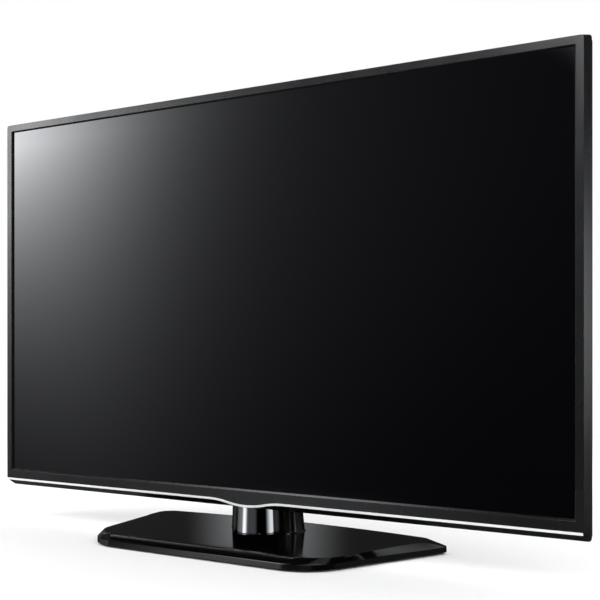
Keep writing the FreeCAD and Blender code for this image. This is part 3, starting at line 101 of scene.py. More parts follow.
finishes = {
    # injection-moulded ABS, semi-gloss: black with a soft sheen, and a faint orange peel
    "frameAbsSemiGloss": dict(colours=("#0b0b0c", "#101011"), patch=90, roughness=(0.24, 0.3),
                              grain=(1.8, 0.004), nodes=["front_frame"]),
    # silver lacquer on the moulded strip: pale and evenly bright, with fine flake along X
    "trimSilverLacquer": dict(colours=("#e4e5e7", "#ecedee"), patch=12, roughness=(0.32, 0.42),
                              grain=(1.2, 0.006), stretch=(0.04, 1, 1), metallic=0.12,
                              nodes=["trim_strip"]),
    # float glass with a hard coat, over a black display: nearly a mirror, hardly any colour
    "filterGlassCoated": dict(colours=("#020204", "#030305"), patch=300, roughness=(0.03, 0.05),
                              grain=(60, 0.002), nodes=["filter_glass"]),
    # ceramic print behind the glass border: the deepest black of the front
    "screenPrintBlack": dict(colours=("#020204", "#030305"), patch=60, roughness=(0.04, 0.06),
                             grain=(60, 0.002), nodes=[]),
    # closed-cell foam gasket: dull, with fine open pores
    "gasketFoam": dict(colours=("#17181a", "#232426"), patch=3, roughness=(0.85, 0.95), grain=(0.8, 0.1),
                       nodes=["filter_gasket"]),
    # soda-lime panel glass sheets: grey green at the edges
    "panelGlassSheet": dict(colours=("#3f4744", "#4a524f"), patch=160, roughness=(0.06, 0.1),
                            grain=(50, 0.002), nodes=["panel_front_glass", "panel_rear_glass"]),
    # silicone heat pad: pale, soft and slightly speckled
    "heatPadSilicone": dict(colours=("#8a8f93", "#9ba0a3"), patch=4, roughness=(0.75, 0.85),
                            grain=(1.5, 0.03), nodes=["heat_pad"]),
    # extruded aluminium spacer: die lines run along it
    "spacerExtrusion": dict(colours=("#a5a7a8", "#b9bbbc"), patch=10, roughness=(0.32, 0.42),
                            grain=(0.8, 0.01), stretch=(0.1, 1, 0.1), metallic=1.0,
                            nodes=["spacer_frame"]),
    # rolled aluminium chassis sheet: a broad rolling grain
    "chassisRolledAluminium": dict(colours=("#9a9c9d", "#b2b4b5"), patch=14, roughness=(0.34, 0.46),
                                   grain=(1.0, 0.01), stretch=(0.08, 1, 1), metallic=1.0,
                                   nodes=["chassis_plate"]),
    # black-oxide steel screws: dark and oily, lighter on the worn edges
    "screwBlackOxide": dict(colours=("#1a1a1b", "#2b2b2c"), patch=2.5, roughness=(0.32, 0.45),
                            grain=(0.6, 0.02), metallic=1.0,
                            nodes=["cover_screws", "base_screws", "neck_screws"]),
    # textured back cover moulding, spark-eroded grain of about 0.6 mm drawn at 1.4 mm to show
    "backSparkTexture": dict(colours=("#1b1b1d", "#252527"), patch=120, roughness=(0.5, 0.6),
                             grain=(1.4, 0.05), nodes=["back_cover"]),
    # zinc-plated steel: a cool grey with cloudy spangle
    "zincPlatedSteel": dict(colours=("#8f9497", "#aab0b3"), patch=9, roughness=(0.3, 0.44),
                            grain=(2.5, 0.01), metallic=1.0,
                            nodes=["wall_rails", "neck_bracket", "board_standoffs", "board_screws",
                                   "spindle_nut"]),
    # turned brass inserts: fine turning marks round the bore
    "insertTurnedBrass": dict(colours=("#b08a4a", "#c6a25e"), patch=2, roughness=(0.25, 0.35),
                              grain=(0.5, 0.01), stretch=(1, 4, 1), metallic=1.0, nodes=["wall_inserts"]),
    # epoxy glass board under green lacquer: see boardLacquer below for its traces
    # transformer core wrapped in yellow polyester tape: glossy film with a few creases
    "transformerTape": dict(colours=("#b8902a", "#caa23c"), patch=12, roughness=(0.25, 0.4),
                            grain=(6, 0.12), stretch=(1, 0.3, 1), nodes=["power_transformers"]),
    # transfer-moulded epoxy chips: matt black with a powdery bloom
    "chipEpoxy": dict(colours=("#151516", "#202021"), patch=3, roughness=(0.55, 0.7), grain=(0.7, 0.01),
                      nodes=["board_chips", "remote_receiver"]),
    # shrink sleeve on the capacitors: a smooth dark blue film
    "capacitorSleeve": dict(colours=("#1b2436", "#232e44"), patch=8, roughness=(0.28, 0.38),
                            grain=(3, 0.02), nodes=["board_capacitors"]),
    # extruded and anodised heat sinks: fine die lines up the fins
    "heatSinkExtrusion": dict(colours=("#8c8e90", "#a7a9ab"), patch=5, roughness=(0.35, 0.48),
                              grain=(0.8, 0.02), stretch=(1, 1, 0.1), metallic=1.0, nodes=["heat_sinks"]),
    # tin-plated steel can and socket shells: bright, slightly rippled by the stamping
    "socketTinPlate": dict(colours=("#a3a5a6", "#bcbebf"), patch=6, roughness=(0.2, 0.34),
                           grain=(3, 0.02), metallic=1.0,
                           nodes=["tuner_can", "hdmi_sockets", "usb_socket", "antenna_socket"]),
    # moulded polyamide sockets: satin black with flow marks
    "socketPolyamide": dict(colours=("#151517", "#1f1f22"), patch=5, roughness=(0.4, 0.55),
                            grain=(1, 0.02), nodes=["lan_socket", "optical_socket", "mains_inlet",
                                                    "mains_filter", "phono_sockets"]),
    # dyed polyamide rings of the phono sockets: a dull even colour, slightly streaked by the flow
    "ringPolyamideYellow": dict(colours=("#bf9a1c", "#cfab2c"), patch=3, roughness=(0.4, 0.5),
                                grain=(0.8, 0.01), nodes=[]),
    "ringPolyamideWhite": dict(colours=("#c9c8c3", "#d6d5d1"), patch=3, roughness=(0.4, 0.5),
                               grain=(0.8, 0.01), nodes=[]),
    "ringPolyamideRed": dict(colours=("#a3231f", "#b2302a"), patch=3, roughness=(0.4, 0.5),
                             grain=(0.8, 0.01), nodes=[]),
    "ringPolyamideGreen": dict(colours=("#1f7a3a", "#2b8947"), patch=3, roughness=(0.4, 0.5),
                               grain=(0.8, 0.01), nodes=[]),
    "ringPolyamideBlue": dict(colours=("#1f4a93", "#2b58a2"), patch=3, roughness=(0.4, 0.5),
                              grain=(0.8, 0.01), nodes=[]),
    # pressed steel panel under black powder paint: a fine orange peel
    "jackPanelPowder": dict(colours=("#1a1b1c", "#232425"), patch=20, roughness=(0.5, 0.6),
                            grain=(1.6, 0.03), nodes=["jack_panel"]),
    # nickel-plated brass pins: bright and warm
    "pinNickel": dict(colours=("#b7b3a8", "#c9c5ba"), patch=3, roughness=(0.18, 0.28), grain=(1, 0.005),
                      metallic=1.0, nodes=["mains_inlet_pins"]),
    # control stick, moulded and lightly grained for the finger
    "stickAcetal": dict(colours=("#131314", "#1c1c1e"), patch=3, roughness=(0.38, 0.5), grain=(0.9, 0.02),
                        nodes=["stick_housing", "stick_gimbal", "stick_lever", "stick_cap"]),
    # loudspeaker boxes and baskets in filled polystyrene: dull, with sink marks
    "speakerPolystyrene": dict(colours=("#101011", "#19191a"), patch=14, roughness=(0.5, 0.65),
                               grain=(2, 0.03), nodes=["speaker_boxes", "speaker_drivers"]),
    # pulp paper cones: soft charcoal with visible fibres
    "conePaper": dict(colours=("#1d1d1c", "#30302e"), patch=2, roughness=(0.8, 0.9), grain=(0.9, 0.06),
                      stretch=(1, 1, 0.4), nodes=["speaker_cone_left", "speaker_cone_right"]),
    # base cover in piano-black ABS: deep gloss, and a long soft wave from the moulding
    "basePianoBlack": dict(colours=("#030303", "#050506"), patch=140, roughness=(0.1, 0.13),
                           grain=(45, 0.006), nodes=["base_cover"]),
    # pressed steel base plate, black passivated
    "plateSteel": dict(colours=("#2d2e30", "#3d3e40"), patch=18, roughness=(0.4, 0.52), grain=(2, 0.02),
                       metallic=1.0, nodes=["base_plate", "pivot_sleeve"]),
    # rubber feet: dull and slightly dusty
    "footRubber": dict(colours=("#141414", "#202020"), patch=3, roughness=(0.8, 0.92), grain=(0.8, 0.04),
                       nodes=["rubber_feet"]),
    # nylon washers: milky, lightly polished by turning
    "washerNylon": dict(colours=("#d3d0c6", "#e0ddd4"), patch=6, roughness=(0.35, 0.5), grain=(1, 0.01),
                        nodes=["upper_washer", "lower_washer"]),
    # die-cast aluminium core: grey skin with a cloudy cast texture
    "coreDieCast": dict(colours=("#77797b", "#929496"), patch=7, roughness=(0.42, 0.58),
                        grain=(1.6, 0.08), metallic=1.0, nodes=["neck_core"]),
    # neck cover in black ABS, polished less than the base: dark, with a soft sheen down its corner
    "neckPianoBlack": dict(colours=("#030303", "#050506"), patch=80, roughness=(0.22, 0.28),
                           grain=(30, 0.004), nodes=["neck_cover"]),
    # neck tube in bright chrome plate: a mirror with a trace of draw lines up the tube
    "tubeChromePlate": dict(colours=("#c9cacb", "#d8d9da"), patch=25, roughness=(0.04, 0.07),
                            grain=(8, 0.002), stretch=(1, 1, 0.15), metallic=1.0, nodes=["chrome_tube"]),
}

materials = {}
for finishName, recipe in finishes.items():
    nodeNames = recipe.pop("nodes")
    settings = {"Metallic": recipe.pop("metallic", 0.0)}
    materials[finishName] = makeFinish(finishName, **recipe, **settings)
    for nodeName in nodeNames:
        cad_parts[nodeName].material_slots[0].material = materials[finishName]


def boardLacquer():
    # green lacquer over etched copper: the traces show as lighter, raised lines 2.8 mm apart
    material, tree, shader, place = startMaterial("boardGreenLacquer", Roughness=0.35)
    lines = addNode(tree, "ShaderNodeTexBrick", {"Scale": 90.0, "Mortar Size": 0.06, "Brick Width": 1.6,
                                                 "Row Height": 0.25, "Color1": linearColour("#12401f"),
                                                 "Color2": linearColour("#174a26"),
                                                 "Mortar": linearColour("#2c6b3a")})
    upright = addNode(tree, "ShaderNodeMapping", {"Rotation": (math.pi / 2, 0, 0)}, {"Vector": place})
    tree.links.new(upright.outputs[0], lines.inputs["Vector"])
    relief = addNode(tree, "ShaderNodeBump", {"Distance": 0.00004, "Strength": 0.5},
                     {"Height": lines.outputs["Fac"]})
    tree.links.new(lines.outputs["Color"], shader.inputs["Base Color"])
    tree.links.new(relief.outputs[0], shader.inputs["Normal"])
    return material


materials["boardGreenLacquer"] = boardLacquer()
for nodeName in ("power_board", "main_board", "control_board", "sustain_board_left", "sustain_board_right",
                 "scan_drive_board", "address_boards"):
    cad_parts[nodeName].material_slots[0].material = materials["boardGreenLacquer"]
undressed = [n for n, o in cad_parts.items() if o.material_slots[0].material not in materials.values()]
print("materials", len(materials), "undressed nodes", undressed)


# Modelling helpers

edgeTurn = math.radians(30)  # edges that turn by more are softened, and stay sharp in the shading
straight = 0.9  # a face looks along an axis where its normal has more than this of it


def clearSelection():
    if bpy.context.object and bpy.context.object.mode != "OBJECT":
        bpy.ops.object.mode_set(mode="OBJECT")
    bpy.ops.object.select_all(action="DESELECT")


def addBlock(name, low, high):
    # a cube at its size and place, to be shaped
    clearSelection()
    low, high = Vector(low), Vector(high)
    bpy.ops.mesh.primitive_cube_add(size=1, location=(low + high) / 2)
    piece = bpy.context.object
    piece.name = name
    piece.scale = high - low
    bpy.ops.object.transform_apply(location=True, rotation=True, scale=True)
    return piece


def pick(piece, kind, test):
    # select by place, and faces also by normal, then stay in edit mode
    clearSelection()
    mesh = piece.data
    for group in (mesh.vertices, mesh.edges, mesh.polygons):
        group.foreach_set("select", [False] * len(group))
    spots = [vertex.co.copy() for vertex in mesh.vertices]
    if kind == "VERT":
        for vertex in mesh.vertices:
            vertex.select = test(vertex.co)
    elif kind == "EDGE":
        for edge in mesh.edges:
            edge.select = test(spots[edge.vertices[0]], spots[edge.vertices[1]])
    else:
        for face in mesh.polygons:
            face.select = test(face.center, face.normal)
    piece.select_set(True)
    bpy.context.view_layer.objects.active = piece
    bpy.context.tool_settings.mesh_select_mode = (kind == "VERT", kind == "EDGE", kind == "FACE")
    bpy.ops.object.mode_set(mode="EDIT")


def shift(piece, test, move):
    pick(piece, "VERT", test)
    bpy.ops.transform.translate(value=move)


def cutAcross(piece, place, normal):
    pick(piece, "FACE", lambda middle, facing: True)
    bpy.ops.mesh.bisect(plane_co=place, plane_no=normal)


def pullOut(move):
    bpy.ops.mesh.extrude_region_move(TRANSFORM_OT_translate={"value": move})


def finishPiece(piece, body, material, nodes, bevel, segments=2, back=0.0):
    # moved back to its depth, normals outwards, edges softened, then it takes its nodes' place
    pick(piece, "FACE", lambda middle, facing: True)
    bpy.ops.mesh.normals_make_consistent(inside=False)
    if back:
        bpy.ops.transform.translate(value=(0, back, 0))
    clearSelection()
    piece.select_set(True)
    bpy.context.view_layer.objects.active = piece
    edges = piece.modifiers.new("softEdges", "BEVEL")
    edges.width = bevel
    edges.segments = segments
    edges.limit_method = "ANGLE"
    edges.angle_limit = edgeTurn
    bpy.ops.object.modifier_apply(modifier=edges.name)
    bpy.ops.object.shade_smooth_by_angle(angle=edgeTurn)
    level = piece.modifiers.new("levelFaces", "WEIGHTED_NORMAL")  # large faces stay flat in reflections
    level.keep_sharp = True
    bpy.ops.object.modifier_apply(modifier=level.name)
    if material:
        piece.data.materials.clear()
        piece.data.materials.append(materials[material])
    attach(piece, body)
    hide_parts(*nodes)
    print("piece", piece.name, len(piece.data.polygons), "faces")


# Screen frame: a flared shell with a sloping underside and a soft dip in its lower edge

bezel = {
    "half": 0.5803, "bottom": 0.0712, "top": 0.760, "depth": 0.0207,
    "flare": 0.0041, "lip": 0.060, "corner": 0.005, "cornerSegments": 6, "innerLift": 0.0094,
    "openingHalf": 0.5683, "openingLow": 0.090, "openingHigh": 0.748,
    "reveal": 0.0023, "revealLow": 0.003, "frontWall": 0.004, "wall": 0.0025,
    "chinHalf": 0.075, "chinDrop": 0.008, "chinColumns": 16, "edge": 0.0006, "edgeSegments": 3,
    "trimTop": 0.075, "trimHalf": 0.5791, "trimProud": 0.0004, "trimDepth": 0.0019, "trimEdge": 0.0003,
}


def chinDropAt(x):
    # two arcs bend down to the dip's middle, level at both ends
    half, drop = bezel["chinHalf"], bezel["chinDrop"]
    run = max(0.0, half - abs(x))
    radius = (half ** 2 + drop ** 2) / (4 * drop)
    if run <= half / 2:
        return radius - math.sqrt(radius ** 2 - run ** 2)
    return drop - radius + math.sqrt(radius ** 2 - (half - run) ** 2)


def cutChinColumns(piece):
    count = bezel["chinColumns"]
    for column in range(count + 1):
        cutAcross(piece, (bezel["chinHalf"] * (2 * column / count - 1), 0, 0), (1, 0, 0))


def dipChin(piece, test):
    # each column of vertices in the chin goes down with the curve
    count = bezel["chinColumns"]
    for column in range(1, count):
        x = bezel["chinHalf"] * (2 * column / count - 1)
        shift(piece, lambda co: abs(co.x - x) < tiny and test(co), (0, 0, -chinDropAt(x)))


def makeScreenFrame():
    half, bottom, top, depth = bezel["half"], bezel["bottom"], bezel["top"], bezel["depth"]
    middleZ = (bottom + top) / 2
    shell = addBlock("screenFrame", (-half, 0, bottom), (half, depth, top))
    for side in (-1, 1):
        shift(shell, lambda co: co.x * side > 0 and co.y > depth / 2, (side * bezel["flare"], 0, 0))
    shift(shell, lambda co: co.z > middleZ and co.y > depth / 2, (0, 0, bezel["flare"]))
    shift(shell, lambda co: co.z < middleZ and co.y > depth / 2, (0, 0, bezel["lip"] - bottom))
    pick(shell, "EDGE", lambda a, b: abs(a.y - b.y) > depth / 2)
    bpy.ops.mesh.bevel(offset=bezel["corner"], segments=bezel["cornerSegments"], affect="EDGES")

    # hollow it from behind, down to the front wall
    pick(shell, "FACE", lambda middle, facing: facing.y > straight)
    bpy.ops.mesh.inset(thickness=bezel["wall"])
    pullOut((0, bezel["frontWall"] - depth, 0))
    inside = lambda co: abs(co.y - bezel["frontWall"]) < tiny
    for side in (-1, 1):
        shift(shell, lambda co: inside(co) and co.x * side > half / 2, (-side * bezel["flare"], 0, 0))
    shift(shell, lambda co: inside(co) and co.z > middleZ, (0, 0, -bezel["flare"]))
    shift(shell, lambda co: inside(co) and co.z < middleZ, (0, 0, bezel["innerLift"]))

    # the screen opening, its reveal narrowing to the glass
    for side in (-1, 1):
        cutAcross(shell, (side * bezel["openingHalf"], 0, 0), (1, 0, 0))
    for height in ("openingLow", "openingHigh", "trimTop"):
        cutAcross(shell, (0, 0, bezel[height]), (0, 0, 1))
    cutChinColumns(shell)
    within = lambda co: (abs(co.x) < bezel["openingHalf"] + tiny
                         and bezel["openingLow"] - tiny < co.z < bezel["openingHigh"] + tiny)
    pick(shell, "FACE", lambda middle, facing: facing.y > straight and middle.y < depth / 2
         and within(middle))
    bpy.ops.mesh.delete(type="FACE")
    pick(shell, "FACE", lambda middle, facing: facing.y < -straight and middle.y < tiny and within(middle))
    pullOut((0, bezel["frontWall"], 0))
    bpy.ops.transform.resize(value=((bezel["openingHalf"] - bezel["reveal"]) / bezel["openingHalf"], 1,
                                    1 - (bezel["reveal"] + bezel["revealLow"])
                                    / (bezel["openingHigh"] - bezel["openingLow"])),
                             center_override=(0, bezel["frontWall"], bezel["openingHigh"]))
    bpy.ops.transform.translate(value=(0, 0, -bezel["reveal"]))
    bpy.ops.mesh.delete(type="FACE")
    pick(shell, "EDGE", lambda a, b: False)
    bpy.ops.mesh.select_non_manifold(use_wire=False, use_multi_face=False, use_non_contiguous=False,
                                     use_verts=False)
    bpy.ops.mesh.bridge_edge_loops()
    dipChin(shell, lambda co: co.y < tiny and co.z < bezel["trimTop"] + tiny)
    finishPiece(shell, "television", "frameAbsSemiGloss", ["front_frame"],
                bezel["edge"], bezel["edgeSegments"], back=facePlane)


def makeTrimStrip():
    strip = addBlock("silverTrimStrip", (-bezel["trimHalf"], -bezel["trimProud"], bezel["bottom"]),
                     (bezel["trimHalf"], bezel["trimDepth"], bezel["trimTop"]))
    cutChinColumns(strip)
    dipChin(strip, lambda co: True)
    finishPiece(strip, "television", "trimSilverLacquer", ["trim_strip"],
                bezel["trimEdge"], back=facePlane)


makeScreenFrame()
makeTrimStrip()


# Filter glass: one sheet with a ground edge and a black print round the picture

glassSheet = {"printWidth": 0.0135, "edge": 0.0005}


def makeFilterGlass():
    low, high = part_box("filter_glass")
    sheet = addBlock("filterGlass", low, high)
    pick(sheet, "FACE", lambda middle, facing: facing.y < -straight)
    bpy.ops.mesh.inset(thickness=glassSheet["printWidth"])
    finishPiece(sheet, "television", "filterGlassCoated", ["filter_glass"],
                glassSheet["edge"])
    sheet.data.materials.append(materials["screenPrintBlack"])
    inner = glassSheet["printWidth"] - glassSheet["edge"]
    for face in sheet.data.polygons:
        shown = face.normal.y < -straight and low.x + inner < face.center.x < high.x - inner
        if not (shown and low.z + inner < face.center.z < high.z - inner):
            face.material_index = 1


makeFilterGlass()


# Neck: a half tube of chrome in front, and a glossy cover behind it

neck = {
    "centreY": 0.034, "radius": 0.0333, "wall": 0.0015, "low": 0.0199, "tubeTop": 0.0627, "cutY": 0.040,
    "coverFront": 0.040, "coverBack": 0.092, "halfFront": 0.065, "halfBack": 0.070, "coverTop": 0.0612,
    "frontRound": 0.014, "backRound": 0.024, "taperSide": 0.0025, "taperBack": 0.005,
    "skirt": 0.0016, "skirtHeight": 0.0016, "coverWall": 0.0025, "edge": 0.0003, "tubeFlare": 0.0012,
    "tubeSides": 128, "frontSegments": 10, "backSegments": 14,
}


def makeChromeTube():
    clearSelection()
    low, top = neck["low"], neck["tubeTop"]
    middle = (low + top) / 2
    bpy.ops.mesh.primitive_cylinder_add(vertices=neck["tubeSides"], radius=neck["radius"], depth=top - low,
                                        location=(0, neck["centreY"], middle), end_fill_type="NOTHING")
    tube = bpy.context.object
    tube.name = "chromeNeckTube"
    bpy.ops.object.transform_apply(location=True, rotation=True, scale=True)
    pick(tube, "FACE", lambda centre, facing: True)
    bpy.ops.mesh.bisect(plane_co=(0, neck["cutY"], 0), plane_no=(0, 1, 0), clear_outer=True)
    clearSelection()
    pick(tube, "VERT", lambda co: co.z < middle)  # the tube widens a little downwards
    flare = 1 + neck["tubeFlare"] / neck["radius"]
    bpy.ops.transform.resize(value=(flare, flare, 1), center_override=(0, neck["centreY"], middle))
    clearSelection()
    tube.select_set(True)
    bpy.context.view_layer.objects.active = tube
    wall = tube.modifiers.new("tubeWall", "SOLIDIFY")
    wall.thickness = neck["wall"]
    wall.offset = -1
    bpy.ops.object.modifier_apply(modifier=wall.name)
    finishPiece(tube, "television", "tubeChromePlate", ["chrome_tube"], neck["edge"],
                back=facePlane)


def makeNeckCover():
    low, top = neck["low"], neck["coverTop"]
    front, back = neck["coverFront"], neck["coverBack"]
    upright = lambda a, b: abs(a.z - b.z) > (top - low) / 2
    cover = addBlock("neckCoverShell", (-neck["halfBack"], front, low), (neck["halfBack"], back, top))
    for side in (-1, 1):
        shift(cover, lambda co: co.x * side > 0 and co.y < front + tiny,
              (side * (neck["halfFront"] - neck["halfBack"]), 0, 0))
    pick(cover, "EDGE", lambda a, b: upright(a, b) and a.y < front + tiny)
    bpy.ops.mesh.bevel(offset=neck["frontRound"], segments=neck["frontSegments"], affect="EDGES")
    pick(cover, "EDGE", lambda a, b: upright(a, b) and a.y > back - tiny)
    bpy.ops.mesh.bevel(offset=neck["backRound"], segments=neck["backSegments"], affect="EDGES")
    pick(cover, "VERT", lambda co: co.z > top - tiny)
    narrow = (1 - neck["taperSide"] / neck["halfBack"], 1 - neck["taperBack"] / (back - front), 1)
    bpy.ops.transform.resize(value=narrow, center_override=(0, front, top))
    cutAcross(cover, (0, 0, low + neck["skirtHeight"]), (0, 0, 1))
    pick(cover, "VERT", lambda co: co.z < low + tiny)
    widen = (1 + neck["skirt"] / neck["halfBack"], 1 + neck["skirt"] / (back - front), 1)
    bpy.ops.transform.resize(value=widen, center_override=(0, front, low))
    pick(cover, "FACE", lambda middle, facing: abs(facing.z) > straight
         and not low + tiny < middle.z < top - tiny)
    bpy.ops.mesh.delete(type="FACE")
    clearSelection()
    cover.select_set(True)
    bpy.context.view_layer.objects.active = cover
    wall = cover.modifiers.new("coverWall", "SOLIDIFY")
    wall.thickness = neck["coverWall"]
    wall.offset = -1
    bpy.ops.object.modifier_apply(modifier=wall.name)
    finishPiece(cover, "television", "neckPianoBlack", ["neck_cover"], neck["edge"],
                back=facePlane)


makeChromeTube()
makeNeckCover()


# Base cover: the CAD form with the soft edges of a moulding

baseMoulding = {"edge": 0.0012, "segments": 3}
copying = {"sameSpot": 1e-6, "flatTurn": 0.6}  # in metres and degrees


def copyOfNode(nodeName, pieceName):
    # a copy of a node's loose triangles, merged and with its flat faces joined
    clearSelection()
    piece = bpy.data.objects.new(pieceName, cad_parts[nodeName].data.copy())
    bpy.context.collection.objects.link(piece)
    pick(piece, "FACE", lambda middle, facing: True)
    bpy.ops.mesh.remove_doubles(threshold=copying["sameSpot"])
    bpy.ops.mesh.select_all(action="SELECT")
    bpy.ops.mesh.dissolve_limited(angle_limit=math.radians(copying["flatTurn"]))
    return piece


baseShell = copyOfNode("base_cover", "glossBaseCover")
finishPiece(baseShell, "base", "basePianoBlack", ["base_cover"],
            baseMoulding["edge"], baseMoulding["segments"])
print("main pieces ready")


# Back: softened cover and stick cap, and phono sockets with coloured rings

backDetail = {
    "coverEdge": 0.0005, "capEdge": 0.0007, "sides": 32,
    "ringRadius": 0.007, "ringEnd": 0.030, "barrelRadius": 0.0043, "barrelEnd": 0.039,
    "lipRadius": 0.0036, "bore": 0.0017, "boreDepth": 0.008, "ringEdge": 0.0002,
    "columns": (-0.380, -0.358), "topRow": 0.380, "pitch": 0.022,
    "colours": (("Yellow", "White", "Red", "White", "Red"), ("Green", "Blue", "Red", "White", "Red")),
}


def makePhonoSocket():
    # one socket at the origin's X and Z: flange, barrel, lip and bore, along Y
    front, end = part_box("phono_sockets")[0].y, backDetail["ringEnd"]
    clearSelection()
    bpy.ops.mesh.primitive_cylinder_add(vertices=backDetail["sides"], radius=backDetail["ringRadius"],
                                        depth=end - front, location=(0, (front + end) / 2, 0),
                                        rotation=(math.pi / 2, 0, 0))
    socket = bpy.context.object
    socket.name = "phonoSockets"
    bpy.ops.object.transform_apply(location=True, rotation=True, scale=True)
    steps = [("barrelRadius", "ringRadius", backDetail["barrelEnd"] - end), ("lipRadius", "barrelRadius", 0),
             ("bore", "lipRadius", -backDetail["boreDepth"])]
    reach = end
    for radius, before, travel in steps:
        pick(socket, "FACE", lambda middle, facing: facing.y > straight and middle.y > reach - tiny
             and math.hypot(middle.x, middle.z) < tiny)
        bpy.ops.mesh.inset(thickness=backDetail[before] - backDetail[radius])
        if travel:
            pullOut((0, travel, 0))
            reach += max(travel, 0)
    clearSelection()
    return socket


def makePhonoSockets():
    names = ["Yellow", "White", "Red", "Green", "Blue"]
    pattern = makePhonoSocket()
    for material in [materials["socketTinPlate"]] + [materials["ringPolyamide" + name] for name in names]:
        pattern.data.materials.append(material)
    barrel, lip = backDetail["barrelRadius"], backDetail["lipRadius"]
    sockets = []
    for column, place in enumerate(backDetail["columns"]):
        for row, colour in enumerate(backDetail["colours"][column]):
            socket = pattern.copy()
            socket.data = pattern.data.copy()
            bpy.context.collection.objects.link(socket)
            for face in socket.data.polygons:
                reach = max(math.hypot(socket.data.vertices[index].co.x, socket.data.vertices[index].co.z)
                            for index in face.vertices)
                inRing = reach > barrel + tiny or (reach < lip + tiny and face.normal.y > straight)
                face.material_index = 1 + names.index(colour) if inRing else 0
            pick(socket, "FACE", lambda middle, facing: True)
            bpy.ops.transform.translate(value=(place, 0, backDetail["topRow"] - row * backDetail["pitch"]))
            sockets.append(socket)
    clearSelection()
    bpy.data.objects.remove(pattern)
    for socket in sockets:
        socket.select_set(True)
    bpy.context.view_layer.objects.active = sockets[0]
    bpy.ops.object.join()
    sockets[0].name = "phonoSockets"
    finishPiece(sockets[0], "television", None, ["phono_sockets"],
                backDetail["ringEdge"])


finishPiece(copyOfNode("back_cover", "texturedBackCover"), "television", "backSparkTexture",
            ["back_cover"], backDetail["coverEdge"])
finishPiece(copyOfNode("stick_cap", "controlStickCap"), "stick_cap", "stickAcetal",
            ["stick_cap"], backDetail["capEdge"])
makePhonoSockets()
print("back pieces ready")


# Studio: floor, white background, lamps, and cards that only reflections see

studio = {
    "floorSize": 60.0, "fadeFrom": 1.1, "fadeTo": 2.4, "ambient": 1.0, "aim": (0, 0.02, 0.38),
    "key": {"power": 78.0, "place": (-2.4, -2.6, 3.2), "size": 2.4},
    "fill": {"power": 20.0, "place": (3.2, -1.2, 2.4), "size": 2.4},
    "back": {"power": 70.0, "place": (1.4, 3.4, 2.6), "size": 2.6},
}

# the softbox at the upper left: its glow dies away to the right and, faster at its left, down
softbox = {
    "peak": 4.0, "edgeX": -3.28, "edgeWidth": 0.347, "fallFrom": 0.87, "fallLow": -4.0, "fallHigh": 0.62,
    "rateSlope": -0.75, "rateAt": -0.825, "rateMost": 3.0,
    "ends": {"left": ("X", -4.95, -4.5, 0.0, 1.0), "top": ("Z", 1.68, 2.13, 1.0, 0.0),
             "foot": ("Z", -0.56, -0.40, 0.0, 1.0)},
}

# a card's lights add up: each is a ramp, with its axis, from, to, and the levels before and
# after, or a spot, with its centre, radii and peak
cards = {
    "frontSoftboxCard": {
        "glow": "softboxGlow", "size": (9.0, 9.0), "place": (-1.5, -3.0, 1.5), "turn": (math.pi / 2, 0, 0),
        "lights": {"besideBox": ("X", -4.95, -4.5, 0.6, 0.0), "rest": ("Z", -0.5, 1.2, 0.02, 0.045),
                   "lowRest": ("Z", -0.64, -0.52, 0.16, 0.0),
                   "haze": ((-2.6, 0, 1.6), (2.6, 0, 2.6), 0.14),
                   "rimLight": ((-2.32, 0, -0.70), (0.62, 0, 0.24), 0.85),
                   "bandLight": ((-1.84, 0, -0.53), (0.85, 0, 0.15), 5.0),
                   "cornerLight": ((0.52, 0, 2.6), (1.66, 0, 1.5), 31.0)},
    },
    # black beside the camera, light behind it
    "rightFlagCard": {
        "glow": "rightCardGlow", "size": (9.0, 4.6), "place": (3.0, -0.7, 1.5), "turn": (0, math.pi / 2, 0),
        "lights": {"behind": ("Y", -0.2, 1.2, 0.015, 0.12),
                   "sideLight": ((0, 1.45, 0.46), (0, 0.6, 0.72), 4.8),
                   "edgeLight": ((0, -2.6, 0.75), (0, 0.5, 1.0), 3.6)},
    },
    # dark, with a faint glow behind the neck and a light at its right
    "backFlagCard": {
        "glow": "backCardGlow", "size": (9.0, 6.0), "place": (-1.5, 1.6, 1.0), "turn": (math.pi / 2, 0, 0),
        "lights": {"rest": ("X", -2.4, -1.2, 0.04, 0.026),
                   "higher": ((0.3, 0, 1.5), (1.1, 0, 0.9), 0.6),
                   "neckLight": ((-1.125, 0, 0.42), (0.36, 0, 1.6), 0.46),
                   "sideLight": ((2.75, 0, 0.46), (0.85, 0, 0.72), 6.2)},
    },
    "leftFlagCard": {
        "glow": "leftCardGlow", "size": (9.0, 4.6), "place": (-6.0, -0.7, 1.5), "turn": (0, math.pi / 2, 0),
        "lights": {"rest": ("Y", -3.0, 1.6, 0.4, 0.12)},
    },
    # a round overhead glow that the lower edge of the screen opening catches
    "topSoftbox": {
        "glow": "topLightGlow", "size": (3.4, 2.8), "place": (-1.85, -0.35, 3.0), "turn": (0, 0, 0),
        "lights": {"overScreen": ((-1.80, -0.42, 0), (0.8, 0.9, 0), 9.0)},
    },
    # dark and far below the floor, which reflections don't see, for the faces that look down
    "bottomCard": {
        "glow": "bottomCardGlow", "size": (9.0, 4.6), "place": (-1.5, -0.7, -2.0), "turn": (0, 0, 0),
        "lights": {"rest": ("X", -3.0, 0.0, 0.25, 0.08)},
    },
}

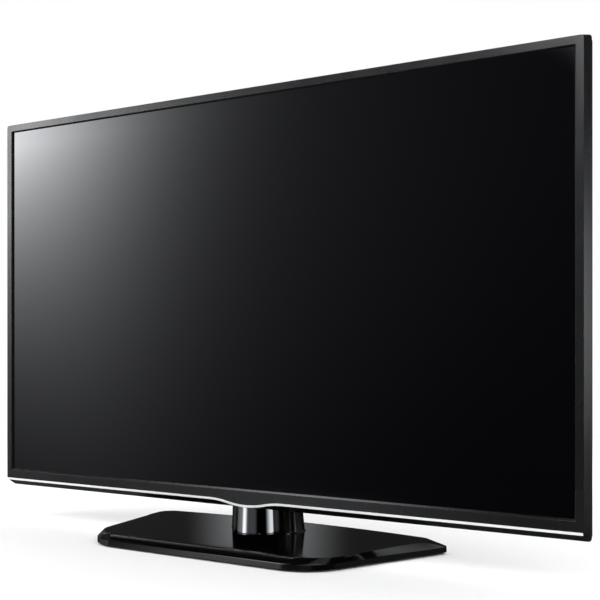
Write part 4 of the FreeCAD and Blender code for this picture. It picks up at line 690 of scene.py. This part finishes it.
# a low round card in front of the neck: lit inside for the chrome tube, black outside, so the
# gloss base round the tube stays dark; its lights go by degrees from straight ahead, and the
# strip by degrees from its own place
neckRing = {
    "radius": 0.041, "low": 0.0197, "high": 0.0625, "sides": 96, "stripAt": -10.5,
    "lights": {"leftLight": ("angle", -78, -24, 0.0, 0.22), "lessAhead": ("angle", -6, 8, 0.0, -0.15),
               "endAhead": ("angle", 26, 38, 0.0, -0.07), "rightLight": ("angle", 64, 88, 0.0, 1.1),
               "strip": ("fromStrip", 1.0, 13.0, 1.35, 0.0)},
}


def addSheet(name, width, height, place, turn=(0, 0, 0)):
    # a flat stage sheet, its turn and place left in its mesh
    clearSelection()
    bpy.ops.mesh.primitive_plane_add(size=1, location=place, rotation=turn)
    sheet = bpy.context.object
    sheet.name = name
    sheet.scale = (width, height, 1)
    bpy.ops.object.transform_apply(location=True, rotation=True, scale=True)
    return sheet


def startGlow(name):
    # an emission material whose strength is linked later, and its object coordinates
    material = bpy.data.materials.new(name)
    material.use_nodes = True
    tree = material.node_tree
    tree.nodes.clear()
    glow = addNode(tree, "ShaderNodeEmission", {"Color": (0.97, 0.99, 1.02, 1), "Strength": 0.0})
    addNode(tree, "ShaderNodeOutputMaterial", None, {"Surface": glow.outputs[0]})
    return material, tree, glow, addNode(tree, "ShaderNodeTexCoord").outputs["Object"]


def joinLights(tree, place, values, lights, joined="ADD", level=None):
    # all lights added up, or multiplied: a ramp passes softly from one level to another along
    # its value, and a spot falls softly from its peak to nothing at its radii
    for light in lights.values():
        if isinstance(light[0], str):
            source, start, end, before, after = light
            share = addNode(tree, "ShaderNodeMapRange", {"interpolation_type": "SMOOTHSTEP",
                                                         "From Min": start, "From Max": end,
                                                         "To Min": before, "To Max": after},
                            {"Value": values[source]})
        else:
            centre, radii, peak = light
            scale = [1 / radius if radius else 0.0 for radius in radii]
            offset = [-part * size for part, size in zip(centre, scale)]
            near = addNode(tree, "ShaderNodeMapping", {"Scale": scale, "Location": offset},
                           {"Vector": place})
            ball = addNode(tree, "ShaderNodeTexGradient", {"gradient_type": "SPHERICAL"},
                           {"Vector": near.outputs[0]})
            share = addNode(tree, "ShaderNodeMapRange", {"interpolation_type": "SMOOTHSTEP",
                                                         "To Max": peak}, {"Value": ball.outputs["Fac"]})
        if level is not None:
            share = addNode(tree, "ShaderNodeMath", {"operation": joined}, {0: level, 1: share.outputs[0]})
        level = share.outputs[0]
    return level


def onlyReflected(sheet, material):
    # seen by glossy rays alone, so it neither lights nor hides anything
    sheet.data.materials.append(material)
    sheet.visible_camera = False
    sheet.visible_diffuse = False
    sheet.visible_shadow = False
    sheet.visible_transmission = False
    sheet.visible_volume_scatter = False


def makeFloor():
    # matt paper that keeps the shadow near the set and is plain white to the camera further out
    floor = addSheet("studioFloor", studio["floorSize"], studio["floorSize"], (0, 0, 0))
    material, tree, shader, place = startMaterial("studioFloorPaper", Roughness=0.9)
    shader.inputs["Specular IOR Level"].default_value = 0.0
    fibres = addNode(tree, "ShaderNodeTexNoise", {"Scale": 40.0, "Detail": 3.0}, {"Vector": place})
    tint = addNode(tree, "ShaderNodeMix", {"data_type": "RGBA", 6: linearColour("#f7f7f7"),
                                           7: linearColour("#fafafa")}, {0: fibres.outputs["Fac"]})
    tree.links.new(tint.outputs[2], shader.inputs["Base Color"])
    distance = addNode(tree, "ShaderNodeVectorMath", {"operation": "LENGTH"}, {0: place}).outputs["Value"]
    far = addNode(tree, "ShaderNodeMapRange", {"interpolation_type": "SMOOTHSTEP",
                                               "From Min": studio["fadeFrom"],
                                               "From Max": studio["fadeTo"]}, {"Value": distance})
    rays = addNode(tree, "ShaderNodeLightPath")
    share = addNode(tree, "ShaderNodeMath", {"operation": "MULTIPLY"},
                    {0: far.outputs[0], 1: rays.outputs["Is Camera Ray"]})
    white = addNode(tree, "ShaderNodeEmission", {"Color": (1, 1, 1, 1), "Strength": 1.0})
    blend = addNode(tree, "ShaderNodeMixShader", None,
                    {0: share.outputs[0], 1: shader.outputs[0], 2: white.outputs[0]})
    ends = [node for node in tree.nodes if node.type == "OUTPUT_MATERIAL"]
    tree.links.new(blend.outputs[0], ends[0].inputs["Surface"])
    floor.data.materials.append(material)
    floor.visible_glossy = False


def softboxLevel(tree, place, axes):
    # a soft edge across, times a fall downwards, within the softbox's ends
    width = softbox["edgeWidth"]
    across = addNode(tree, "ShaderNodeMath", {"operation": "MULTIPLY_ADD", 1: 1 / width,
                                              2: -softbox["edgeX"] / width}, {0: axes["X"]})
    grown = addNode(tree, "ShaderNodeMath", {"operation": "EXPONENT"}, {0: across.outputs[0]})
    grown = addNode(tree, "ShaderNodeMath", {"operation": "ADD", 1: 1.0}, {0: grown.outputs[0]})
    edge = addNode(tree, "ShaderNodeMath", {"operation": "DIVIDE", 0: softbox["peak"]},
                   {1: grown.outputs[0]})
    height = addNode(tree, "ShaderNodeMath", {"operation": "SUBTRACT", 1: softbox["fallFrom"]},
                     {0: axes["Z"]})
    height = addNode(tree, "ShaderNodeClamp", {"Min": softbox["fallLow"], "Max": softbox["fallHigh"]},
                     {"Value": height.outputs[0]})
    rate = addNode(tree, "ShaderNodeMath", {"operation": "MULTIPLY_ADD", 1: softbox["rateSlope"],
                                            2: softbox["rateAt"]}, {0: axes["X"]})
    rate = addNode(tree, "ShaderNodeClamp", {"Min": 0.0, "Max": softbox["rateMost"]},
                   {"Value": rate.outputs[0]})
    fall = addNode(tree, "ShaderNodeMath", {"operation": "MULTIPLY"},
                   {0: height.outputs[0], 1: rate.outputs[0]})
    fall = addNode(tree, "ShaderNodeMath", {"operation": "EXPONENT"}, {0: fall.outputs[0]})
    level = addNode(tree, "ShaderNodeMath", {"operation": "MULTIPLY"},
                    {0: edge.outputs[0], 1: fall.outputs[0]})
    return joinLights(tree, place, axes, softbox["ends"], "MULTIPLY", level.outputs[0])


def makeCard(cardName):
    card = cards[cardName]
    material, tree, glow, place = startGlow(card["glow"])
    axes = addNode(tree, "ShaderNodeSeparateXYZ", None, {"Vector": place}).outputs
    level = softboxLevel(tree, place, axes) if cardName == "frontSoftboxCard" else None
    level = joinLights(tree, place, axes, card["lights"], level=level)
    tree.links.new(level, glow.inputs["Strength"])
    onlyReflected(addSheet(cardName, *card["size"], card["place"], card["turn"]), material)


def makeNeckRing():
    middle, low, high = facePlane + neck["centreY"], neckRing["low"], neckRing["high"]
    clearSelection()
    bpy.ops.mesh.primitive_cylinder_add(vertices=neckRing["sides"], radius=neckRing["radius"],
                                        depth=high - low, end_fill_type="NOTHING",
                                        location=(0, middle, (low + high) / 2))
    ring = bpy.context.object
    ring.name = "neckRingCard"
    bpy.ops.object.transform_apply(location=True, rotation=False, scale=False)
    pick(ring, "FACE", lambda centre, facing: centre.y > facePlane + neck["coverFront"])
    bpy.ops.mesh.delete(type="FACE")
    clearSelection()
    material, tree, glow, place = startGlow("neckRingGlow")
    axes = addNode(tree, "ShaderNodeSeparateXYZ", None, {"Vector": place}).outputs
    ahead = addNode(tree, "ShaderNodeMath", {"operation": "SUBTRACT", 0: middle}, {1: axes["Y"]})
    angle = addNode(tree, "ShaderNodeMath", {"operation": "ARCTAN2"}, {0: axes["X"], 1: ahead.outputs[0]})
    angle = addNode(tree, "ShaderNodeMath", {"operation": "DEGREES"}, {0: angle.outputs[0]}).outputs[0]
    beside = addNode(tree, "ShaderNodeMath", {"operation": "SUBTRACT", 1: neckRing["stripAt"]}, {0: angle})
    beside = addNode(tree, "ShaderNodeMath", {"operation": "ABSOLUTE"}, {0: beside.outputs[0]}).outputs[0]
    level = joinLights(tree, place, {"angle": angle, "fromStrip": beside}, neckRing["lights"])
    inside = addNode(tree, "ShaderNodeNewGeometry").outputs["Backfacing"]
    lit = addNode(tree, "ShaderNodeMath", {"operation": "MULTIPLY"}, {0: level, 1: inside})
    tree.links.new(lit.outputs[0], glow.inputs["Strength"])
    onlyReflected(ring, material)


def makeWorld():
    # white to the camera and in reflections, and a plain level of ambient light
    world = bpy.data.worlds.new("studioWhite")
    bpy.context.scene.world = world
    world.use_nodes = True
    tree = world.node_tree
    tree.nodes.clear()
    rays = addNode(tree, "ShaderNodeLightPath")
    seen = addNode(tree, "ShaderNodeMath", {"operation": "MAXIMUM"},
                   {0: rays.outputs["Is Camera Ray"], 1: rays.outputs["Is Glossy Ray"]})
    seen = addNode(tree, "ShaderNodeMath", {"operation": "MAXIMUM"},
                   {0: seen.outputs[0], 1: rays.outputs["Is Transmission Ray"]})
    strength = addNode(tree, "ShaderNodeMapRange", {"To Min": studio["ambient"], "To Max": 1.0},
                       {"Value": seen.outputs[0]})
    sky = addNode(tree, "ShaderNodeBackground", {"Color": (1, 1, 1, 1)}, {"Strength": strength.outputs[0]})
    addNode(tree, "ShaderNodeOutputWorld", None, {"Surface": sky.outputs[0]})


def makeLamps():
    for lampName in ("key", "fill", "back"):
        recipe = studio[lampName]
        clearSelection()
        bpy.ops.object.light_add(type="AREA", location=recipe["place"])
        lamp = bpy.context.object
        lamp.name = lampName + "Lamp"
        lamp.data.energy = recipe["power"]
        lamp.data.size = recipe["size"]
        lamp.rotation_euler = (Vector(studio["aim"]) - lamp.location).to_track_quat("-Z", "Y").to_euler()
        lamp.visible_glossy = False


makeFloor()
for cardName in cards:
    makeCard(cardName)
makeNeckRing()
makeWorld()
makeLamps()
print("studio ready")


# Camera, from the photograph's perspective

camera = {"place": (1.1206, -1.4995, 0.334), "turn": 34.12, "lens": 67.28, "sensor": 36.0,
          "shiftUp": 0.0741, "farthest": 200.0}
clearSelection()
bpy.ops.object.camera_add(location=camera["place"],
                          rotation=(math.pi / 2, 0, math.radians(camera["turn"])))
viewer = bpy.context.object
viewer.name = "photoCamera"
viewer.data.sensor_width = camera["sensor"]
viewer.data.lens = camera["lens"]
viewer.data.shift_y = camera["shiftUp"]
viewer.data.clip_end = camera["farthest"]
bpy.context.scene.camera = viewer
bpy.context.scene.view_settings.view_transform = "Standard"
